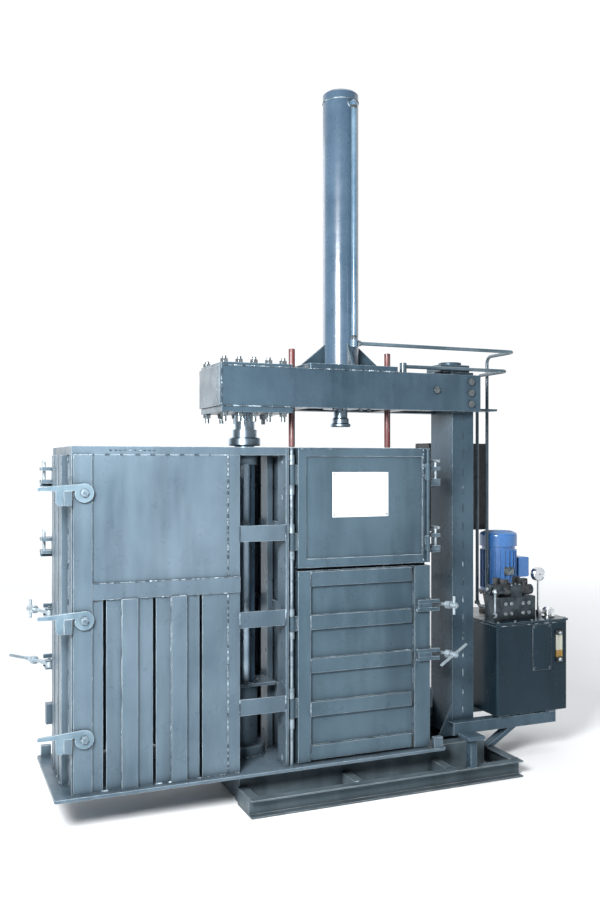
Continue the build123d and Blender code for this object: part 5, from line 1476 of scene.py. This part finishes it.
@dataclass
class ValveDressing:
    """Coil sleeves, plugs, bolts and the lever's ball on the valve block."""

    valve_y: Pair = (-40.0, 22.0)
    coil_z: float = 748.0
    coil: float = 22.0
    sleeve: float = 24.4
    sleeves: tuple[Pair, ...] = ((1234.0, 1268.0), (1332.0, 1380.0))
    coil_ends: Pair = (1205.0, 1395.0)
    plug_half: float = 14.0
    plug_foot: float = 20.0
    plug_height: float = 32.0
    body_x: float = 1300.0
    body_top: float = 771.0
    bolt_reach: Pair = (22.0, 16.0)
    port_x: Row = (1236.0, 1268.0, 1332.0, 1364.0)
    port_z: Row = (645.0, 690.0)
    port_face: float = -70.0
    ball: Spot = (1180.0, -75.0, 750.0)
    ball_radius: float = 12.25

    def build_coils(self) -> None:
        """Slip the sleeves on the coils and press a cable plug on each."""
        mesh = bmesh.new()
        half, foot = self.plug_half, self.coil_z + self.plug_foot
        gland = [(6.5, 0), *nut_outline(7.5, 6), (5.0, 12)]
        for y in self.valve_y:
            out = Way.FRONT.line if y < 0 else Way.BACK.line
            for low, high in self.sleeves:
                run = high - low
                coil, rim = self.coil, self.sleeve
                sleeve = [(coil, 0), (rim, 1.5), (rim, run - 1.5), (coil, run)]
                revolve(mesh, sleeve, mm(low, y, self.coil_z), Way.RIGHT.line, 36)
                x = (low + high) / 2
                top = foot + self.plug_height
                block(mesh, (x - half, y - half, foot), (x + half, y + half, top), 3.0)
                side = mm(x, y, foot + self.plug_height / 2) + out * (half - 1) / 1000.0
                revolve(mesh, gland, side, out, 6)
        add_piece("coil_sleeves_and_plugs", mesh, BLACK_PLASTIC, "frame")

    def build_metal(self) -> None:
        """Screw on the coil nuts, the valve bolts and the port plugs."""
        mesh = bmesh.new()
        nut = [*nut_outline(10, 9), (0.4, 9)]
        across, ahead = self.bolt_reach
        for y in self.valve_y:
            for x, way in zip(self.coil_ends, (Way.LEFT, Way.RIGHT)):
                revolve(mesh, nut, mm(x, y, self.coil_z), way.line, 6)
            for dx in (-across, across):
                for dy in (-ahead, ahead):
                    spot = mm(self.body_x + dx, y + dy, self.body_top)
                    screw(mesh, spot, Way.UP.line, 5.0, 4.5)
        plug = [(9, 0), (9, 2.5), (8, 3.2), (0.5, 3.2)]
        for x in self.port_x:
            for z in self.port_z:
                revolve(mesh, plug, mm(x, self.port_face, z), Way.FRONT.line, 24)
        add_piece("valve_bolts_and_plugs", mesh, BOLT_ZINC, "frame")

    def build(self) -> None:
        """Dress the coils and the block, then screw the ball on the lever."""
        self.build_coils()
        self.build_metal()
        knob = bmesh.new()
        reach = self.ball_radius
        turns = [math.radians(degrees) for degrees in range(-72, 90, 9)]
        outline = [(reach * math.cos(turn), reach * math.sin(turn)) for turn in turns]
        revolve(knob, [*outline, (0.3, reach)], mm(*self.ball), Way.UP.line, 28)
        add_piece("valve_lever_knob", knob, BLACK_PLASTIC, "valve_lever", 60.0)


@dataclass
class MotorDressing:
    """Fan grille, rating plate, terminal lid, gland and flange bolts of the motor."""

    axis: Pair = (1362.0, 170.0)
    cowl_top: float = 1003.0
    opening: float = 68.0
    grille: Row = (16.0, 28.0, 40.0, 52.0, 64.0)
    spoke: Row = (6.0, 38.0, 70.0)
    flanges: Pair = (631.0, 706.0)
    bolt_circle: float = 84.0
    fins: float = 88.0
    plate_half: float = 28.0
    plate_z: Pair = (800.0, 838.0)
    lid_low: Spot = (1505.5, 127.0, 784.0)
    lid_high: Spot = (1510.5, 213.0, 876.0)
    lid_inset: float = 9.0
    gland: Spot = (1478.0, 170.0, 783.0)

    def build_grille(self) -> None:
        """Bend the wires of the fan grille over a black disc, painted shade for the dark inside of the
        cowl.
        """
        x, y = self.axis
        top, up = mm(x, y, self.cowl_top), Way.UP.line
        hole, wires = bmesh.new(), bmesh.new()
        # Painted shade: a thin black disc stands for the dark inside of the cowl under the grille
        revolve(hole, [(self.opening, -0.4), (self.opening, 0.5), (0.5, 0.5)], top, up, 48)
        add_piece("fan_opening_shade", hole, DIAL_BLACK, "frame")
        for around in self.grille:
            loop = [mm(x + dx, y + dy, self.cowl_top + 1.8) for dx, dy in circle(48, around)]
            sweep(wires, [*loop, loop[0]], 1.7)
        for across, ahead in circle(8, 1.0):
            spots = [top + mm(across * reach, ahead * reach, 1.4) for reach in self.spoke]
            sweep(wires, spots, 1.9)
        revolve(wires, [(9, 0), (9, 3.0), (7, 4.2), (0.5, 4.2)], top, up, 24)
        add_piece("fan_grille", wires, MOTOR_ENAMEL, "frame")

    def build_fasteners(self) -> None:
        """Bolt the pump mount and the terminal lid."""
        mesh = bmesh.new()
        x, y = self.axis
        for dx, dy in circle(8, self.bolt_circle, 0.5):
            for z, way in zip(self.flanges, (Way.UP, Way.DOWN)):
                screw(mesh, mm(x + dx, y + dy, z), way.line, 6.5, 5.5)
        (_, y0, z0), (face, y1, z1) = self.lid_low, self.lid_high
        for ahead in (y0 + self.lid_inset, y1 - self.lid_inset):
            for z in (z0 + self.lid_inset, z1 - self.lid_inset):
                screw(mesh, mm(face, ahead, z), Way.RIGHT.line, 4.5, 3.0)
        add_piece("motor_bolts", mesh, BOLT_ZINC, "frame")

    def build(self) -> None:
        """Dress the motor from the top down."""
        self.build_grille()
        self.build_fasteners()
        lid, gland, plate = bmesh.new(), bmesh.new(), bmesh.new()
        block(lid, self.lid_low, self.lid_high, 3.0)
        add_piece("terminal_lid", lid, MOTOR_ENAMEL, "frame")
        outline = [(11, 0), *nut_outline(13, 8), (9.5, 10), (9.5, 16), (6, 17)]
        revolve(gland, outline, mm(*self.gland), Way.DOWN.line, 6)
        add_piece("terminal_gland", gland, BLACK_PLASTIC, "frame")
        x, front, half = self.axis[0], self.axis[1] - self.fins, self.plate_half
        z0, z1 = self.plate_z
        block(plate, (x - half, front - 1.4, z0), (x + half, front + 1.0, z1), 0.6)
        add_piece("bare_rating_plate", plate, FITTING_ZINC, "frame")


@dataclass
class PanelDressing:
    """Door seam, hinges and quarter-turn locks of the electrical cabinet."""

    left: float = 1000.0
    right: float = 1330.0
    low: float = 1010.0
    high: float = 1430.0
    seam_y: float = 322.0
    seam_half: float = 1.5
    proud: float = 0.8
    sunk: float = 2.0
    hinge_z: Pair = (1080.0, 1310.0)
    pin: float = 24.0

    def build(self) -> None:
        """Lay the rubber seam round the door, then hang and lock the door."""
        x0, x1, z0, z1 = self.left, self.right, self.low, self.high
        out, into = self.proud, self.sunk
        near, far = self.seam_y - self.seam_half, self.seam_y + self.seam_half
        seam, metal = bmesh.new(), bmesh.new()
        for left, right, low, high in (
            (x0 - out, x0 + into, z0, z1),
            (x1 - into, x1 + out, z0, z1),
            (x0, x1, z0 - out, z0 + into),
            (x0, x1, z1 - into, z1 + out),
        ):
            block(seam, (left, near, low), (right, far, high), 0.4)
        add_piece("cabinet_seam", seam, DIAL_BLACK, "frame")
        pin = [(4, 0), (5.5, 0.8), (5.5, self.pin - 0.8), (4, self.pin), (0.4, self.pin)]
        lock = [(11, 0), (11, 2), (9, 4), (4.5, 4), (4.5, 7), (0.5, 7)]
        for z in self.hinge_z:
            for foot in (z, z + self.pin + 1):
                revolve(metal, pin, mm(x1 + 4.5, self.seam_y, foot), Way.UP.line, 20)
            revolve(metal, lock, mm(x0, self.seam_y - 16, z + 20), Way.LEFT.line, 24)
        add_piece("cabinet_hinges_and_locks", metal, FITTING_ZINC, "frame")


@dataclass
class HingeDressing:
    """Grease pressed out between the knuckles of the door hinges."""

    rod: Pair = (118.0, -225.0)
    knuckle: float = 12.5
    hinges: tuple[Pair, ...] = HINGES_Z

    def build(self) -> None:
        """Grease every joint of both boxes' hinges."""
        mesh = bmesh.new()
        for low, high in self.hinges:
            ring = (high - low) / 4
            for z in (low + ring, high - ring):
                ring_bead(mesh, mm(*self.rod, z), Way.UP.line, self.knuckle - 0.2, 1.6)
        turned(mesh)
        add_piece("hinge_grease", mesh, GREASE, "carriage")


@dataclass
class CadFinishes:
    """Which real finish each carried-over CAD node wears."""

    by_slot: dict[str, Finish] = field(
        default_factory=lambda: {
            "frame_enamel": FRAME_ENAMEL,
            "box_enamel": BOX_ENAMEL,
            "tank_enamel": TANK_ENAMEL,
            "turned_steel": COLUMN_STEEL,
            "cylinder_enamel": TUBE_ENAMEL,
            "bolt_steel": BOLT_ZINC,
            "red_oxide": RED_PRIMER,
            "latch_steel": LATCH_STEEL,
            "motor_blue": MOTOR_ENAMEL,
            "cast_iron": CAST_IRON,
            "chrome": CHROME,
            "sight_glass": OIL_GLASS,
        }
    )
    by_kind: dict[str, Finish] = field(
        default_factory=lambda: {
            "base_girders": SKID_ENAMEL,
            "skid_frame": SKID_ENAMEL,
            "riser_pipe": RISER_ENAMEL,
            "cap_side_pipe": PIPE_ENAMEL,
            "rod_side_pipe": PIPE_ENAMEL,
            "hinge_bars": HINGE_STEEL,
            "control_panel": PANEL_BLACK,
            "valve_block": VALVE_ZINC,
            "upper_door_": SHADED_DOOR_ENAMEL,
            "lower_door_": SHADED_DOOR_ENAMEL,
            "hook_": HOOK_ENAMEL,
        }
    )

    def finish_of(self, node: str, slot: str) -> Finish:
        """The finish of a node: the one named for its kind, or else its slot's."""
        named = [finish for kind, finish in self.by_kind.items() if node.startswith(kind)]
        return named[0] if named else self.by_slot[slot]

    def dress(self, frame: dict[str, Any]) -> None:
        """Lay the finishes on the CAD nodes.
        """
        slots = {part["node"]: part["material_slot"] for part in frame["record"]["subparts"]}
        for node, thing in frame["nodes"].items():
            finish = self.finish_of(node, slots[node])
            thing.data.materials.clear()
            thing.data.materials.append(finish.surface())
            LOG.info("%s wears %s", node, finish.name)


@dataclass(frozen=True)
class SoftBox:
    """A square studio lamp: where it hangs, what it points at, its side and its watts."""

    name: str
    at: Point
    to: Point
    size: float
    power: float

    def hang(self) -> None:
        """Hang the lamp in the scene."""
        data = bpy.data.lights.new(self.name, "AREA")
        data.shape = "SQUARE"
        data.size = self.size
        data.energy = self.power
        lamp = bpy.data.objects.new(self.name, data)
        lamp.location = self.at
        lamp.rotation_euler = (Vector(self.to) - lamp.location).to_track_quat("-Z", "Y").to_euler()
        bpy.context.scene.collection.objects.link(lamp)


@dataclass
class PhotoStand:
    """The pale floor, the soft studio light and the camera at the photograph's angle."""

    camera_at: Spot = (-1.2237, -3.5575, 1.336)
    camera_turn: float = -22.47
    lens: float = 36.43
    rise: float = 0.0143
    floor_half: float = 40.0
    floor_sunk: float = 0.0005
    paper: str = "#ecedee"
    light: str = "#f7f9fb"
    backdrop: Spot = (0.30, 0.72, 0.62)
    room: float = 0.18
    bright: float = 1.12
    fade: Pair = (2.5, 9.0)
    far_glow: float = 0.5
    lamps: tuple[SoftBox, ...] = (
        SoftBox("key", (-1.8, -2.4, 2.3), (-0.5, 0.0, 1.4), 1.1, 290.0),
        SoftBox("top", (0.2, -0.6, 6.0), (0.2, -0.4, 0.0), 4.5, 45.0),
        SoftBox("rear", (-1.5, 5.0, 3.0), (0.3, 0.0, 1.0), 3.0, 40.0),
    )

    def build_floor(self) -> None:
        """Lay the plain floor, which is no part of the baler."""
        mesh = bmesh.new()
        bmesh.ops.create_grid(mesh, x_segments=1, y_segments=1, size=self.floor_half)
        data = bpy.data.meshes.new("studio_floor")
        mesh.to_mesh(data)
        mesh.free()
        paper = bpy.data.materials.new("studio_paper")
        paper.use_nodes = True
        tree = paper.node_tree
        shader = tree.nodes["Principled BSDF"]
        shader.inputs["Base Color"].default_value = linear(self.paper)
        shader.inputs["Roughness"].default_value = 0.85
        # Far from the machine the paper brightens into the backdrop, so no horizon shows
        place = add_node(tree, "ShaderNodeTexCoord").outputs["Object"]
        away = add_node(tree, "ShaderNodeVectorMath", {0: place}, operation="LENGTH")
        near, far = self.fade
        limits = {0: away.outputs["Value"], 1: near, 2: far, 3: 0.0, 4: self.far_glow}
        fade = add_node(tree, "ShaderNodeMapRange", limits)
        shader.inputs["Emission Color"].default_value = linear(self.light)
        tree.links.new(fade.outputs[0], shader.inputs["Emission Strength"])
        data.materials.append(paper)
        floor = bpy.data.objects.new("studio_floor", data)
        floor.location.z = -self.floor_sunk
        bpy.context.scene.collection.objects.link(floor)

    def build_lights(self) -> None:
        """Light the room, then hang the lamps."""
        scene = bpy.context.scene
        world = bpy.data.worlds.new("studio")
        world.use_nodes = True
        tree = world.node_tree
        sky = tree.nodes["Background"]
        sky.inputs["Color"].default_value = linear(self.light)
        # A bright backdrop behind the machine, and a dimmer room on the operator's side
        ray = add_node(tree, "ShaderNodeTexCoord").outputs["Generated"]
        facing = {0: ray, 1: self.backdrop}
        agree = add_node(tree, "ShaderNodeVectorMath", facing, operation="DOT_PRODUCT")
        limits = {0: agree.outputs["Value"], 1: 0.05, 2: 0.62, 3: self.room, 4: self.bright}
        glow = add_node(tree, "ShaderNodeMapRange", limits, interpolation_type="SMOOTHSTEP")
        tree.links.new(glow.outputs[0], sky.inputs["Strength"])
        scene.world = world
        scene.view_settings.view_transform = "Standard"
        for lamp in self.lamps:
            lamp.hang()

    def build_camera(self) -> None:
        """Set the camera where the photograph was taken from."""
        data = bpy.data.cameras.new("camera")
        data.sensor_width = 36.0
        data.lens = self.lens
        data.shift_y = self.rise
        camera = bpy.data.objects.new("camera", data)
        camera.location = self.camera_at
        camera.rotation_euler = (math.pi / 2, 0.0, math.radians(self.camera_turn))
        bpy.context.scene.collection.objects.link(camera)
        bpy.context.scene.camera = camera


SUB_ASSEMBLIES = (
    BoxSeams,
    DoorDressing,
    Crosshead,
    BaseWelds,
    PipeFittings,
    TankDressing,
    DialFace,
    ValveDressing,
    MotorDressing,
    PanelDressing,
    HingeDressing,
)


def main() -> None:
    """Load the frame, dress it, and set up the floor, lights and camera."""
    logging.basicConfig(level=logging.INFO, format="%(message)s")
    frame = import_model()
    CadFinishes().dress(frame)
    for work in SUB_ASSEMBLIES:
        LOG.info("building %s", work.__name__)
        work().build()
    stand = PhotoStand()
    stand.build_floor()
    stand.build_lights()
    stand.build_camera()


if __name__ == "__main__":
    main()
